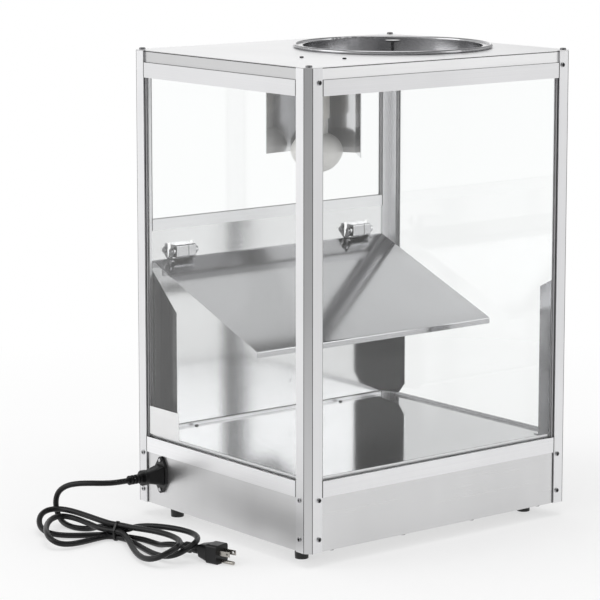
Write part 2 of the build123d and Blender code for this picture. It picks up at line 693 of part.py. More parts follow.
def baffle():
    fall = math.atan2(DOOR_Z1 - BAFFLE_TIP_Z, BAFFLE_TIP_D - HEADER_D1)
    drop = SHEET / math.cos(fall)
    inner = HEADER_D1 + SHEET
    under_bend = DOOR_Z1 - drop - SHEET * math.tan(fall)
    tip_in = BAFFLE_TIP_D - SHEET
    under_tip = BAFFLE_TIP_Z - drop + SHEET * math.tan(fall)
    outline = [(HEADER_D1, HEADER_Z0), (HEADER_D1, DOOR_Z1), (BAFFLE_TIP_D, BAFFLE_TIP_Z),
               (BAFFLE_TIP_D, BAFFLE_TIP_Z - BAFFLE_LIP), (tip_in, BAFFLE_TIP_Z - BAFFLE_LIP),
               (tip_in, under_tip), (inner, under_bend), (inner, HEADER_Z0)]
    plate = wall_bar("front", outline, -BAFFLE_HALF, BAFFLE_HALF)
    for inset, z in ((inner, under_bend), (tip_in, under_tip)):
        plate = round_bend(plate, inset, z, BAFFLE_BEND_R - SHEET)
    for inset, z in ((HEADER_D1, DOOR_Z1), (BAFFLE_TIP_D, BAFFLE_TIP_Z)):
        plate = round_bend(plate, inset, z, BAFFLE_BEND_R)
    for centre, _ in arm_places():
        plate -= arm_slot(centre, HEADER_D1 - 1, HINGE_D + 3, HEADER_Z0 - 1, DOOR_Z1 + 1)
    for x, z in header_rivet_places():
        plate -= wall_rod("front", x, z, HEADER_D1 - 1, inner + 1, RIVET_R + RUNNING)
    return plate


def header_rivet_places():
    return [(x, HEADER_RIVET_Z) for x in HEADER_RIVETS_X]


def hinge_rivet_places():
    return [(centre + side * HINGE_HALF / 2, HINGE_Z) for centre in (-HINGE_X, HINGE_X) for side in (-1, 1)]


def header_rivets():
    # flush outside, where the door passes, with a head only inside
    solids = []
    for x, z in header_rivet_places():
        inner = HEADER_D1 + SHEET
        body = wall_rod("front", x, z, HEADER_D, inner, RIVET_R)
        solids.append(body + wall_rod("front", x, z, inner, inner + RIVET_HEAD_H, RIVET_HEAD_R))
    for x, z in hinge_rivet_places():
        solids.append(wall_rod("front", x, z, HEADER_D, HINGE_D - PIN_R - 1, RIVET_R))
    return group(solids)


# Floor pan, skirts and base plate

FLOOR_SCREW_IN = 17.0
FLOOR_SCREWS_X = (-118.3, 133.7)
FLANGE_RETURN = 16.3
BASE_SCREW_IN = 9.0
BASE_SCREW_SIDE = 45.7
BASE_SCREW_REACH = WIDTH / 2 - BASE_SCREW_SIDE
BASE_SCREWS_X = tuple(share * BASE_SCREW_REACH / 3 for share in (-3, -1, 1, 3))
FOOT_SIDE = 31.3
FOOT_REAR = 50.9
FOOT_X = WIDTH / 2 - FOOT_SIDE
FOOT_Y = DEPTH / 2 - FOOT_REAR
FOOT_TOP_R = 9.7
FOOT_BOTTOM_R = 8.7
FOOT_SEAT_Z = 9.0
FOOT_POCKET_R = 5.5
SKIRT_IN = SKIN + SHEET
PLATE_Z0 = Z0 + SHEET
PLATE_Z1 = PLATE_Z0 + SHEET


def floor_screw_places():
    return [(x, side * (DEPTH / 2 - FLOOR_SCREW_IN)) for x in FLOOR_SCREWS_X for side in (-1, 1)]


def floor_screw_hole(x, y):
    return rod((x, y, PAN_Z0 - 5), (x, y, PAN_Z1 + 1), SMALL_SCREW_R + RUNNING)


def trimmed_rect(inset, cut_x, cut_y, z0, thickness, square):
    # a rectangle inset from the outer faces, with its corners cut square or slantwise
    points = []
    for side_x, side_y in ((1, 1), (-1, 1), (-1, -1), (1, -1)):
        corner = [(inset, cut_y), (cut_x, inset)]
        if square:
            corner.insert(1, (cut_x, cut_y))
        if side_x * side_y < 0:
            corner.reverse()
        points += [(side_x * (WIDTH / 2 - p), side_y * (DEPTH / 2 - q), z0) for p, q in corner]
    return prism(points, (0, 0, 1), thickness)


def floor_pan():
    inset = RAIL_D + FIT
    cut = 2 * CORE + 0.8 - inset
    pan = trimmed_rect(inset, cut, cut, PAN_Z0, THIN_SHEET, False)
    return pan - [floor_screw_hole(x, y) for x, y in floor_screw_places()]


def base_screw_places():
    return [(x, side * (DEPTH / 2 - BASE_SCREW_IN)) for x in BASE_SCREWS_X for side in (-1, 1)]


def foot_places():
    return [(side_x * FOOT_X, side_y * FOOT_Y) for side_x, side_y in CORNERS.values()]


def base_screw_hole(x, y):
    return rod((x, y, Z0 - 1), (x, y, PLATE_Z1 + 1), BASE_SCREW_R + RUNNING)


def skirt(wall):
    reach = SPAN[wall] - FLANGE + TAB
    panel = wall_box(wall, -reach, reach, SKIN, SKIRT_IN, Z0, BASE_Z0)
    panel += wall_box(wall, -end_of(wall), end_of(wall), SKIN, SKIRT_IN + FLANGE_RETURN, Z0, PLATE_Z0)
    panel -= frame_screw_holes(wall)
    if wall in LONG_WALLS:
        panel -= [base_screw_hole(x, y) for x, y in base_screw_places()]
    if wall == "right":
        panel -= inlet_cutout()
    if wall == "front":
        panel -= switch_cutout()
    return panel


def base_plate():
    inset = SKIRT_IN + FIT
    cut = FLANGE + SEAM
    plate = trimmed_rect(inset, cut, cut, PLATE_Z0, SHEET, True)
    return plate - [base_screw_hole(x, y) for x, y in base_screw_places() + foot_places()]


def foot(x, y):
    body = rod((x, y, 0), (x, y, PLATE_Z0), FOOT_BOTTOM_R, FOOT_TOP_R)
    body -= rod((x, y, -1), (x, y, FOOT_SEAT_Z), FOOT_POCKET_R)
    return body - rod((x, y, -1), (x, y, PLATE_Z0 + 1), BASE_SCREW_R + RUNNING)


def base_screws():
    solids = []
    for x, y in base_screw_places():
        solids.append(pan_screw((x, y, Z0), (0, 0, -1), BASE_HEAD_R, BASE_HEAD_H, BASE_SCREW_R, BASE_SCREW_L))
    for x, y in foot_places():
        solids.append(pan_screw((x, y, FOOT_SEAT_Z), (0, 0, -1), BASE_HEAD_R, BASE_HEAD_H, BASE_SCREW_R,
                                BASE_SCREW_L))
    return group(solids)


def black_pan_screws():
    solids = []
    for x, y in lamp_screw_places():
        solids.append(pan_screw((x, y, COVER_Z), (0, 0, 1), SMALL_HEAD_R, SMALL_HEAD_H, SMALL_SCREW_R,
                                SMALL_SCREW_L))
    for x, y in floor_screw_places():
        solids.append(pan_screw((x, y, PAN_Z1), (0, 0, 1), SMALL_HEAD_R, SMALL_HEAD_H, SMALL_SCREW_R,
                                SMALL_SCREW_L - 4))
    return group(solids)


def frame_screws():
    return group([wall_screw(wall, along, z, 0, FRAME_HEAD_R, FRAME_HEAD_H, FRAME_SCREW_R, FRAME_SCREW_L)
                  for wall, along, z in frame_screw_places()])


def top_screws():
    solids = []
    for side_x, side_y in CORNERS.values():
        x, y = post_bore(side_x, side_y)
        solids.append(pan_screw((x, y, COVER_Z), (0, 0, 1), POST_HEAD_R, POST_HEAD_H, POST_BORE_R - RUNNING,
                                POST_SCREW_L))
    return group(solids)


# Rocker switch in the front skirt

SWITCH_SIDE = 75.0
SWITCH_RISE = 38.0
SWITCH_X = WIDTH / 2 - SWITCH_SIDE
SWITCH_Z = Z0 + SWITCH_RISE
BEZEL_HALF_W = 12.5
BEZEL_HALF_H = 16.0
BEZEL_T = 2.0
SWITCH_HALF_W = 11.0
SWITCH_HALF_H = 14.2
SWITCH_DEPTH = 22.0
ROCKER_HALF_W = 9.0
ROCKER_HALF_H = 12.0
ROCKER_ROOM = 0.3
ROCKER_REST = 8.0
ROCKER_PIVOT_IN = 5.0
ROCKER_AXLE_R = 1.2
ROCKER_WELL = 9.0
ROCKER_DISH = 1.6
WELL_ROOM = 1.2


def switch_cutout():
    half_w, half_h = SWITCH_HALF_W + FIT, SWITCH_HALF_H + FIT
    return wall_box("front", SWITCH_X - half_w, SWITCH_X + half_w, SKIN - 1, SKIRT_IN + 1,
                    SWITCH_Z - half_h, SWITCH_Z + half_h)


def rocker_axle(reach, radius):
    ends = [wall_point("front", SWITCH_X + s * reach, SKIN + ROCKER_PIVOT_IN, SWITCH_Z) for s in (-1, 1)]
    return rod(ends[0], ends[1], radius)


def switch_frame():
    frame = wall_box("front", SWITCH_X - BEZEL_HALF_W, SWITCH_X + BEZEL_HALF_W, SKIN - BEZEL_T, SKIN,
                     SWITCH_Z - BEZEL_HALF_H, SWITCH_Z + BEZEL_HALF_H)
    frame += wall_box("front", SWITCH_X - SWITCH_HALF_W, SWITCH_X + SWITCH_HALF_W, SKIN, SKIN + SWITCH_DEPTH,
                      SWITCH_Z - SWITCH_HALF_H, SWITCH_Z + SWITCH_HALF_H)
    well_w = ROCKER_HALF_W + ROCKER_ROOM
    well_h = ROCKER_HALF_H + WELL_ROOM
    frame -= wall_box("front", SWITCH_X - well_w, SWITCH_X + well_w, SKIN - BEZEL_T - 1, SKIN + ROCKER_WELL,
                      SWITCH_Z - well_h, SWITCH_Z + well_h)
    return frame - rocker_axle(SWITCH_HALF_W + 1, ROCKER_AXLE_R + RUNNING)


def switch_rocker():
    # stored in its off position, tipped back about its axle
    face = SKIN - BEZEL_T
    pivot = SKIN + ROCKER_PIVOT_IN
    outline = [(face - ROCKER_DISH, ROCKER_HALF_H), (face, 0), (face - ROCKER_DISH, -ROCKER_HALF_H),
               (pivot - 4, -ROCKER_HALF_H), (pivot + 2, -3), (pivot + 2, 3), (pivot - 4, ROCKER_HALF_H)]
    outline = [(inset, SWITCH_Z + rise) for inset, rise in outline]
    rocker = wall_bar("front", outline, SWITCH_X - ROCKER_HALF_W, SWITCH_X + ROCKER_HALF_W)
    rocker += rocker_axle(SWITCH_HALF_W - 0.6, ROCKER_AXLE_R)
    origin = wall_point("front", SWITCH_X, pivot, SWITCH_Z)
    return rocker.rotate(Axis(origin, (1, 0, 0)), ROCKER_REST)


# Heater, thermostat, terminal block and wires inside the base

ELEMENT_R = 4.0
ELEMENT_SIDE = 75.0
ELEMENT_REAR = 126.0
ELEMENT_HALF_X = WIDTH / 2 - ELEMENT_SIDE
ELEMENT_HALF_Y = DEPTH / 2 - ELEMENT_REAR
ELEMENT_BEND_R = 45.0
ELEMENT_Z = PAN_Z0 - ELEMENT_R - 1.0
CLIP_FROM_BEND = 15.0
CLIP_X = ELEMENT_HALF_X - ELEMENT_BEND_R - CLIP_FROM_BEND
CLIP_HALF = 4.0
CLIP_SIDE = 3.0
STAT_R = 8.0
STAT_H = 8.0
STAT_BLADE_L = 7.0
STAT_X = -40.0
BLOCK_SIDE = 105.0
BLOCK_FRONT = 96.0
BLOCK_X = WIDTH / 2 - BLOCK_SIDE
BLOCK_Y = BLOCK_FRONT - DEPTH / 2
BLOCK_SIZE = (44.0, 20.0, 18.0)
BLOCK_WELL_R = 3.0
BLOCK_WELL_H = 8.0
WIRE_R = 1.3
WIRE_BEND = 8.0
WIRE_RISE = 5.0
WIRE_STRAIGHT = 30.0


def heating_element():
    points = [(-ELEMENT_HALF_X, -ELEMENT_HALF_Y, ELEMENT_Z), (ELEMENT_HALF_X, -ELEMENT_HALF_Y, ELEMENT_Z),
              (ELEMENT_HALF_X, ELEMENT_HALF_Y, ELEMENT_Z), (-ELEMENT_HALF_X, ELEMENT_HALF_Y, ELEMENT_Z)]
    return tube(points, ELEMENT_BEND_R, ELEMENT_R)


def element_clip(x, y):
    half = ELEMENT_R + CLIP_SIDE
    clip = block(x - CLIP_HALF, x + CLIP_HALF, y - half, y + half, ELEMENT_Z - half, PAN_Z0)
    ends = [(x + side * (CLIP_HALF + 1), y, ELEMENT_Z) for side in (-1, 1)]
    return clip - rod(ends[0], ends[1], ELEMENT_R + RUNNING)


def element_clips():
    return group([element_clip(sx * CLIP_X, sy * ELEMENT_HALF_Y) for sx in (-1, 1) for sy in (-1, 1)])


def thermostat():
    body = rod((STAT_X, 0, PAN_Z0 - STAT_H), (STAT_X, 0, PAN_Z0), STAT_R)
    reach = 2 * STAT_R
    body += block(STAT_X - reach, STAT_X + reach, -STAT_R / 2, STAT_R / 2, PAN_Z0 - THIN_SHEET, PAN_Z0)
    for side in (-1, 1):
        x = STAT_X + side * STAT_R / 2
        body += block(x - 0.4, x + 0.4, -3, 3, PAN_Z0 - STAT_H - STAT_BLADE_L, PAN_Z0 - STAT_H)
    return body


def terminal_block():
    length, width, height = BLOCK_SIZE
    body = block(BLOCK_X - length / 2, BLOCK_X + length / 2, BLOCK_Y - width / 2, BLOCK_Y + width / 2,
                 PLATE_Z1, PLATE_Z1 + height)
    for step in (-1, 0, 1):
        x = BLOCK_X + step * length / 3
        top = PLATE_Z1 + height
        body -= rod((x, BLOCK_Y, top - BLOCK_WELL_H), (x, BLOCK_Y, top + 1), BLOCK_WELL_R)
        bore = [(x, BLOCK_Y + side * width, PLATE_Z1 + WIRE_RISE) for side in (-1, 1)]
        body -= rod(bore[0], bore[1], WIRE_R + RUNNING)
    return body


def wires():
    length, width, _ = BLOCK_SIZE
    wire_z = PLATE_Z1 + WIRE_RISE
    lift_z = wire_z + 20
    y_back, y_front = BLOCK_Y + width / 2 - 3, BLOCK_Y - width / 2 + 3
    past_back, past_front = BLOCK_Y + WIRE_STRAIGHT, BLOCK_Y - WIRE_STRAIGHT
    left, middle, right = [BLOCK_X + step * length / 3 for step in (-1, 0, 1)]
    switch_back = -DEPTH / 2 + SKIN + SWITCH_DEPTH
    stat_x = STAT_X + STAT_R / 2
    loop_x = -ELEMENT_HALF_X - 20
    routes = [
        [(INLET_BACK_X, INLET_Y, INLET_Z), (INLET_BACK_X - 25, INLET_Y, INLET_Z),
         (INLET_BACK_X - 40, past_front - 5, wire_z), (right, past_front, wire_z), (right, y_front, wire_z)],
        [(SWITCH_X, switch_back, SWITCH_Z), (SWITCH_X, switch_back + 20, SWITCH_Z),
         (middle, past_front, wire_z), (middle, y_front, wire_z)],
        [(middle, y_back, wire_z), (middle, past_back, wire_z),
         (stat_x, 0, lift_z), (stat_x, 0, PAN_Z0 - STAT_H - STAT_BLADE_L)],
        [(left, y_back, wire_z), (left, past_back, wire_z), (loop_x, -ELEMENT_HALF_Y, lift_z),
         (loop_x, -ELEMENT_HALF_Y, ELEMENT_Z), (-ELEMENT_HALF_X, -ELEMENT_HALF_Y, ELEMENT_Z)],
    ]
    return group([tube(route, WIRE_BEND, WIRE_R) for route in routes])


# Mains inlet on the right side and the cord's connector

INLET_FRONT = 57.0
INLET_RISE = 44.2
INLET_Y = INLET_FRONT - DEPTH / 2
INLET_Z = Z0 + INLET_RISE
INLET_HALF_W = 12.0
INLET_HALF_H = 13.5
INLET_EAR = 20.0
INLET_EAR_R = 5.0
INLET_T = 4.0
SHELL_HALF_W = 10.0
SHELL_HALF_H = 13.5
SHELL_DEPTH = 16.0
SOCKET_HALF_W = 8.2
SOCKET_HALF_H = 12.3
SOCKET_DEPTH = 15.0
INLET_X = WIDTH / 2 - SKIN
INLET_BACK_X = INLET_X - SHELL_DEPTH
BLADE_L = 12.0
CONNECTOR_L = 24.0
COLLAR_R = 10.5
COLLAR_L = 6.0
RELIEF_R = 6.3
RELIEF_NECK_R = 5.0
RELIEF_RIBS = 4
RELIEF_RIB_L = 2.8
RELIEF_GAP_L = 2.4
CORD_R = 3.8


def inlet_cutout():
    return block(INLET_X - SHEET - 2, INLET_X + 2, INLET_Y - SHELL_HALF_W - FIT, INLET_Y + SHELL_HALF_W + FIT,
                 INLET_Z - SHELL_HALF_H - FIT, INLET_Z + SHELL_HALF_H + FIT) + inlet_screw_holes()


def inlet_screw_holes():
    holes = []
    for z in (INLET_Z - INLET_EAR, INLET_Z + INLET_EAR):
        holes.append(rod((INLET_X - 10, INLET_Y, z), (INLET_X + 10, INLET_Y, z), SMALL_SCREW_R + RUNNING))
    return holes


def inlet_blades(room):
    # two upper blades and one lower, as they stand in the socket
    blades = []
    for across, rise in ((-4.0, -3.0), (-4.0, 3.0), (4.0, 0.0)):
        x0 = INLET_BACK_X + 1
        blades.append(block(x0, x0 + BLADE_L + room, INLET_Y + across - 1 - room, INLET_Y + across + 1 + room,
                            INLET_Z + rise - 2 - room, INLET_Z + rise + 2 + room))
    return blades


def inlet_body():
    shoulder = INLET_HALF_H - 2.5
    outline = [(INLET_HALF_W, -shoulder), (INLET_HALF_W, shoulder), (INLET_EAR_R, INLET_EAR + 1),
               (-INLET_EAR_R, INLET_EAR + 1), (-INLET_HALF_W, shoulder), (-INLET_HALF_W, -shoulder),
               (-INLET_EAR_R, -INLET_EAR - 1), (INLET_EAR_R, -INLET_EAR - 1)]
    points = [(INLET_X, INLET_Y + across, INLET_Z + rise) for across, rise in outline]
    body = prism(points, (1, 0, 0), INLET_T)
    for s in (-1, 1):
        ear = INLET_Z + s * INLET_EAR
        body += rod((INLET_X, INLET_Y, ear), (INLET_X + INLET_T, INLET_Y, ear), INLET_EAR_R)
    body += block(INLET_BACK_X, INLET_X, INLET_Y - SHELL_HALF_W, INLET_Y + SHELL_HALF_W,
                  INLET_Z - SHELL_HALF_H, INLET_Z + SHELL_HALF_H)
    mouth = INLET_X + INLET_T
    floor_x = mouth - SOCKET_DEPTH - INLET_T + 1
    body -= block(floor_x, mouth + 1, INLET_Y - SOCKET_HALF_W, INLET_Y + SOCKET_HALF_W,
                  INLET_Z - SOCKET_HALF_H, INLET_Z + SOCKET_HALF_H)
    body -= inlet_screw_holes()
    for blade in inlet_blades(0):
        body += blade
    return body


def inlet_screws():
    solids = []
    for s in (-1, 1):
        seat = (INLET_X + INLET_T, INLET_Y, INLET_Z + s * INLET_EAR)
        solids.append(pan_screw(seat, (1, 0, 0), SMALL_HEAD_R, SMALL_HEAD_H, SMALL_SCREW_R, SMALL_SCREW_L))
    return group(solids)


def relief_ribs():
    # ribs and grooves, one after the other along X
    ribs = []
    x = RELIEF_X
    for index in range(2 * RELIEF_RIBS):
        ribbed = index % 2 == 1
        length = RELIEF_RIB_L if ribbed else RELIEF_GAP_L
        radius = RELIEF_R if ribbed else RELIEF_NECK_R
        ribs.append(rod((x, INLET_Y, INLET_Z), (x + length, INLET_Y, INLET_Z), radius))
        x += length
    return ribs


CONNECTOR_X0 = INLET_X + INLET_T + FIT
COLLAR_X = CONNECTOR_X0 + CONNECTOR_L
RELIEF_X = COLLAR_X + COLLAR_L
CORD_X = RELIEF_X + RELIEF_RIBS * (RELIEF_RIB_L + RELIEF_GAP_L)


def cord_connector():
    plug_w, plug_h = SOCKET_HALF_W - FIT, SOCKET_HALF_H - FIT
    x0 = INLET_X + INLET_T - SOCKET_DEPTH - 2
    body = block(x0, CONNECTOR_X0, INLET_Y - plug_w, INLET_Y + plug_w, INLET_Z - plug_h, INLET_Z + plug_h)
    near = Plane(origin=(CONNECTOR_X0, INLET_Y, INLET_Z), x_dir=(0, 1, 0), z_dir=(1, 0, 0))
    far = Plane(origin=(COLLAR_X, INLET_Y, INLET_Z), x_dir=(0, 1, 0), z_dir=(1, 0, 0))
    shoulder = near * RectangleRounded(2 * INLET_HALF_W - 4, 2 * INLET_HALF_H, 4)
    waist = far * RectangleRounded(15, 16, 4)
    body += loft([shoulder, waist])
    body += rod((COLLAR_X, INLET_Y, INLET_Z), (RELIEF_X, INLET_Y, INLET_Z), COLLAR_R)
    for rib in relief_ribs():
        body += rib
    return body - inlet_blades(FIT)


# Cord hank: two loops on each side of a tie, drawn in alike at the waist, with the climbs along the runs

HANK_OUT = 104.0
HANK_BACK = 47.0
HANK_X = WIDTH / 2 + HANK_OUT
HANK_Y = INLET_Y + HANK_BACK
HANK_TURN = 111.5
HANK_WAIST = 10.0
HANK_END = 18.0
HANK_KNOTS = (75, 130, 180, 230, 285)
CLIMB_STEEPNESS = 3.5
TIE_W = 3.0
TIE_T = 1.0
TIE_ROOM = 0.2
HANK_LIFT = TIE_T + TIE_ROOM

# Across and up, each strand's place in the waist
SLOTS = {
    "near_upper": (5.0, 12.2),
    "near_lower": (4.1, 3.8),
    "far_lower": (-4.1, 3.8),
    "far_upper": (-5.0, 12.2),
    "crown": (0.0, 19.5),
}

# Loops in their order along the cord: side 1 is towards the plug, and a climb is (place, new level)
LOOPS = (
    {"side": 1, "start": "near_upper", "end": "far_lower", "far_waist": 10.0, "reach": 139.0, "spread": 38.0,
     "lean": -0.22, "bow": -15.0, "climbs": ((0.6, 25.5), (3.5, 3.8))},
    {"side": -1, "start": "far_lower", "end": "far_upper", "far_waist": 24.0, "reach": 82.5, "spread": -88.0,
     "lean": -0.49, "bow": 6.0, "climbs": ((2.3, 18.5), (3.95, 12.2))},
    {"side": 1, "start": "far_upper", "end": "crown", "far_waist": 10.0, "reach": 144.0, "spread": -34.0,
     "lean": -0.52, "bow": -3.0, "climbs": ((1.2, 3.8), (2.8, 26.0), (5.2, 19.5))},
    {"side": -1, "start": "crown", "end": "near_lower", "far_waist": 10.0, "reach": 106.5, "spread": 48.0,
     "lean": -0.27, "bow": 21.5, "climbs": ((0.7, 22.8), (3.5, 3.8))},
)


def hank_heading(side):
    turn = math.radians(HANK_TURN)
    return Vector(side * math.cos(turn), side * math.sin(turn), 0)


def hank_place(along, across, height):
    # along the waist towards the plug, across it away from the cabinet, and up from the counter
    turn = math.radians(HANK_TURN)
    x = HANK_X + along * math.cos(turn) - across * math.sin(turn)
    y = HANK_Y + along * math.sin(turn) + across * math.cos(turn)
    return Vector(x, y, height)


def slot_place(slot, along):
    across, height = SLOTS[slot]
    return hank_place(along, across, HANK_LIFT + height)


def climb(phi, place):
    # an even rise from 0 to 1 over one turn, steepest at the place
    def rise(angle):
        return 1 / (1 + math.exp(-CLIMB_STEEPNESS * (angle - place)))
    return (rise(phi) - rise(0)) / (rise(2 * math.pi) - rise(0))


def loop_point(loop, phi):
    start, level = SLOTS[loop["start"]]
    end, _ = SLOTS[loop["end"]]
    swell = (1 - math.cos(phi)) / 2
    along = loop["reach"] * swell
    across = loop["spread"] * math.sin(phi) * swell + loop["bow"] * swell ** 2
    lean = loop["lean"]
    drift = start + (end - start) * (phi - math.sin(phi)) / (2 * math.pi)
    out = HANK_WAIST + along * math.cos(lean) - across * math.sin(lean)
    off = along * math.sin(lean) + across * math.cos(lean) + drift
    height = level
    for place, new_level in loop["climbs"]:
        height += (new_level - level) * climb(phi, place)
        level = new_level
    return hank_place(loop["side"] * out, off, HANK_LIFT + height)


def loop_knots(loop):
    # each knot is a point and the direction of the cord there
    side = loop["side"]
    knots = [(slot_place(loop["start"], side * HANK_WAIST), hank_heading(side))]
    step = 0.0001
    for degrees in HANK_KNOTS:
        phi = math.radians(degrees)
        heading = (loop_point(loop, phi + step) - loop_point(loop, phi - step)).normalized()
        knots.append((loop_point(loop, phi), heading))
    return knots + [(slot_place(loop["end"], side * loop["far_waist"]), hank_heading(-side))]


def biarc(start, heading, end, end_heading):
    # two arcs that meet smoothly between two knots
    chord = end - start
    both = heading + end_heading
    bend = 1 - heading.dot(end_heading)
    lean = chord.dot(both)
    arm = (math.sqrt(lean ** 2 + 2 * bend * chord.dot(chord)) - lean) / (2 * bend)
    first = start + heading * arm
    second = end - end_heading * arm
    middle = (first + second) / 2
    return [TangentArc(start, middle, tangent=heading), TangentArc(middle, end, tangent=second - first)]


def hank_edges():
    edges = []
    here = slot_place(LOOPS[0]["start"], -HANK_END)
    for loop in LOOPS:
        knots = loop_knots(loop)
        edges.append(Line(here, knots[0][0]))
        for (start, heading), (end, end_heading) in zip(knots, knots[1:]):
            edges += biarc(start, heading, end, end_heading)
        here = knots[-1][0]
    edges.append(Line(here, slot_place(LOOPS[-1]["end"], HANK_END)))
    return edges


def least_gap(edges, step, apart):
    # the smallest clear distance between stretches of the cord that lie well apart along it
    points = []
    travelled = 0
    for edge in edges:
        count = math.ceil(edge.length / step)
        for index in range(count):
            points.append((travelled + edge.length * index / count, tuple(edge @ (index / count))))
        travelled += edge.length
    pairs = [(here, there) for index, here in enumerate(points) for there in points[index:]]
    gaps = [math.dist(here[1], there[1]) for here, there in pairs if there[0] - here[0] > apart]
    return min(gaps) - 2 * CORD_R


def report_tube(name, solid, length):
    expected = math.pi * CORD_R ** 2 * length
    print(f"{name}: length {length:.0f} mm, volume {solid.volume:.0f}, section x length {expected:.0f}")


def cord_hank():
    edges = hank_edges()
    path = Wire(edges)
    hank = sweep(Plane(origin=path @ 0, z_dir=path % 0) * Circle(CORD_R), path=path)
    report_tube("cord_hank", hank, path.length)
    radii = [edge.radius for edge in edges if edge.geom_type == GeomType.CIRCLE]
    print(f"cord_hank: least arc radius {min(radii):.1f} mm, least gap {least_gap(edges, 2, 26):.2f} mm")
    return hank


def cord_tie():
    # a band about all the strands in the waist
    seat = Plane(origin=hank_place(-TIE_W / 2, 0, HANK_LIFT), x_dir=hank_heading(1).rotate(Axis.Z, 90),
                 z_dir=hank_heading(1))
    hulls = []
    for reach in (CORD_R + TIE_ROOM + TIE_T, CORD_R + TIE_ROOM):
        circles = [Pos(across, height) * Circle(reach) for across, height in SLOTS.values()]
        hulls.append(make_hull([edge for circle in circles for edge in circle.edges()]))
    return extrude(seat * (hulls[0] - hulls[1]), TIE_W, dir=hank_heading(1))


# Cord leads, from the connector to the hank and from the hank to the plug

# Each point is out from the side face, back from the inlet and up from the counter
LEAD_POINTS = (
    (72.0, 0.0, INLET_Z),
    (87.0, -9.0, 62.8),
    (98.0, -26.0, 61.5),
    (107.0, -43.5, 59.0),
    (114.0, -58.5, 54.2),
    (118.5, -71.0, 44.5),
    (120.0, -75.7, 30.5),
    (120.0, -72.0, 16.0),
    (120.5, -60.5, 6.0),
    (121.5, -43.0, CORD_R),
    (119.5, -24.0, CORD_R),
)
LEAD_END = ((-55, 16.5, 4.2), (-42, 12.5, 9.0), (-30, 5.0, 13.4))
TAIL_START = (37, 4.1, 5.0)
TAIL_POINTS = ((83.3, 98.0, CORD_R), (84.3, 115.0, 4.6), (86.6, 130.5, 9.0))
TAIL_LAST_RUN = 13.0


def beside_inlet(points):
    return [(WIDTH / 2 + out, INLET_Y + back, up) for out, back, up in points]


def fillet_radii(points):
    # at each corner 0.45 of its shorter run, over the tangent of half the turn
    radii = []
    for before, corner, after in zip(points, points[1:], points[2:]):
        turn = (corner - before).get_angle(after - corner)
        shorter = min((corner - before).length, (after - corner).length)
        radii.append(0.45 * shorter / math.tan(math.radians(turn / 2)))
    return radii


def cord_tube(name, points):
    points = [Vector(point) for point in points]
    radii = fillet_radii(points)
    print(f"{name}: radii " + " ".join(f"{radius:.1f}" for radius in radii))
    solid = tube(points, radii, CORD_R)
    report_tube(name, solid, FilletPolyline(*points, radius=radii).length)
    return solid


def cord_lead():
    points = [(CORD_X, INLET_Y, INLET_Z)] + beside_inlet(LEAD_POINTS)
    points += [hank_place(*place) for place in LEAD_END]
    return cord_tube("cord_lead", points + [slot_place(LOOPS[0]["start"], -HANK_END)])


def cord_tail():
    points = [slot_place(LOOPS[-1]["end"], HANK_END), hank_place(*TAIL_START)] + beside_inlet(TAIL_POINTS)
    return cord_tube("cord_tail", points + [plug_place(-TAIL_LAST_RUN), plug_place(0)])


# Mains plug standing on its narrow side, two flat blades above an earth pin

PLUG_OUT = 81.9
PLUG_BACK = 160.8
PLUG_X = WIDTH / 2 + PLUG_OUT
PLUG_Y = INLET_Y + PLUG_BACK
PLUG_HEADING = 105.0
PLUG_AXIS_Z = 12.5
PLUG_SIDE = 25.0
PLUG_REAR_SIDE = 17.0
PLUG_MID_SIDE = 23.0
PLUG_WAIST_SIDE = 21.0
PLUG_ROUND = 4.0
PLUG_REAR_L = 14.5
PLUG_WAIST_L = 1.0
PLUG_FRONT_L = 16.5
PLUG_RELIEF = ((6.0, 5.2), (8.0, 7.0), (6.0, 4.8), (6.0, 6.0), (6.0, 5.4))
BLADE_PITCH = 12.7
BLADE_H = 6.35
BLADE_T = 1.5
BLADE_OUT = 17.5
BLADE_HOLE_R = 1.6
BLADE_HOLE_IN = 4.0
BLADE_SEAT = 8.0
BLADE_DROP = 9.9
PIN_DROP = 11.9
EARTH_PIN_R = 2.4
EARTH_PIN_OUT = 20.5
PLUG_BODY_X = sum(length for length, _ in PLUG_RELIEF)
PLUG_FACE_X = PLUG_BODY_X + PLUG_REAR_L + PLUG_WAIST_L + PLUG_FRONT_L


def plug_seat():
    turn = math.radians(PLUG_HEADING)
    return Plane(origin=(PLUG_X, PLUG_Y, 0), x_dir=(math.cos(turn), math.sin(turn), 0), z_dir=(0, 0, 1))


def plug_place(along):
    return plug_seat().from_local_coords(Vector(along, 0, PLUG_AXIS_Z))


def plug_section(x, side):
    # a rounded square across the plug
    section = Plane(origin=(x, 0, PLUG_AXIS_Z), x_dir=(0, 1, 0), z_dir=(1, 0, 0))
    return section * RectangleRounded(side, side, PLUG_ROUND)


def plug_blade(side, room):
    y = side * BLADE_PITCH / 2
    z = PLUG_SIDE - BLADE_DROP
    half_t, half_h = BLADE_T / 2 + room, BLADE_H / 2 + room
    seat, tip = PLUG_FACE_X - BLADE_SEAT, PLUG_FACE_X + BLADE_OUT
    blade = block(seat, tip, y - half_t, y + half_t, z - half_h, z + half_h)
    hole_x = PLUG_FACE_X + BLADE_OUT - BLADE_HOLE_IN
    return blade - rod((hole_x, y - BLADE_T, z), (hole_x, y + BLADE_T, z), BLADE_HOLE_R)


def earth_pin(room):
    z = PLUG_SIDE - BLADE_DROP - PIN_DROP
    tip = PLUG_FACE_X + EARTH_PIN_OUT
    pin = rod((PLUG_FACE_X - BLADE_SEAT, 0, z), (tip, 0, z), EARTH_PIN_R + room)
    return fillet(pin.edges().filter_by(GeomType.CIRCLE).sort_by(Axis.X)[-1], EARTH_PIN_R * 0.8)


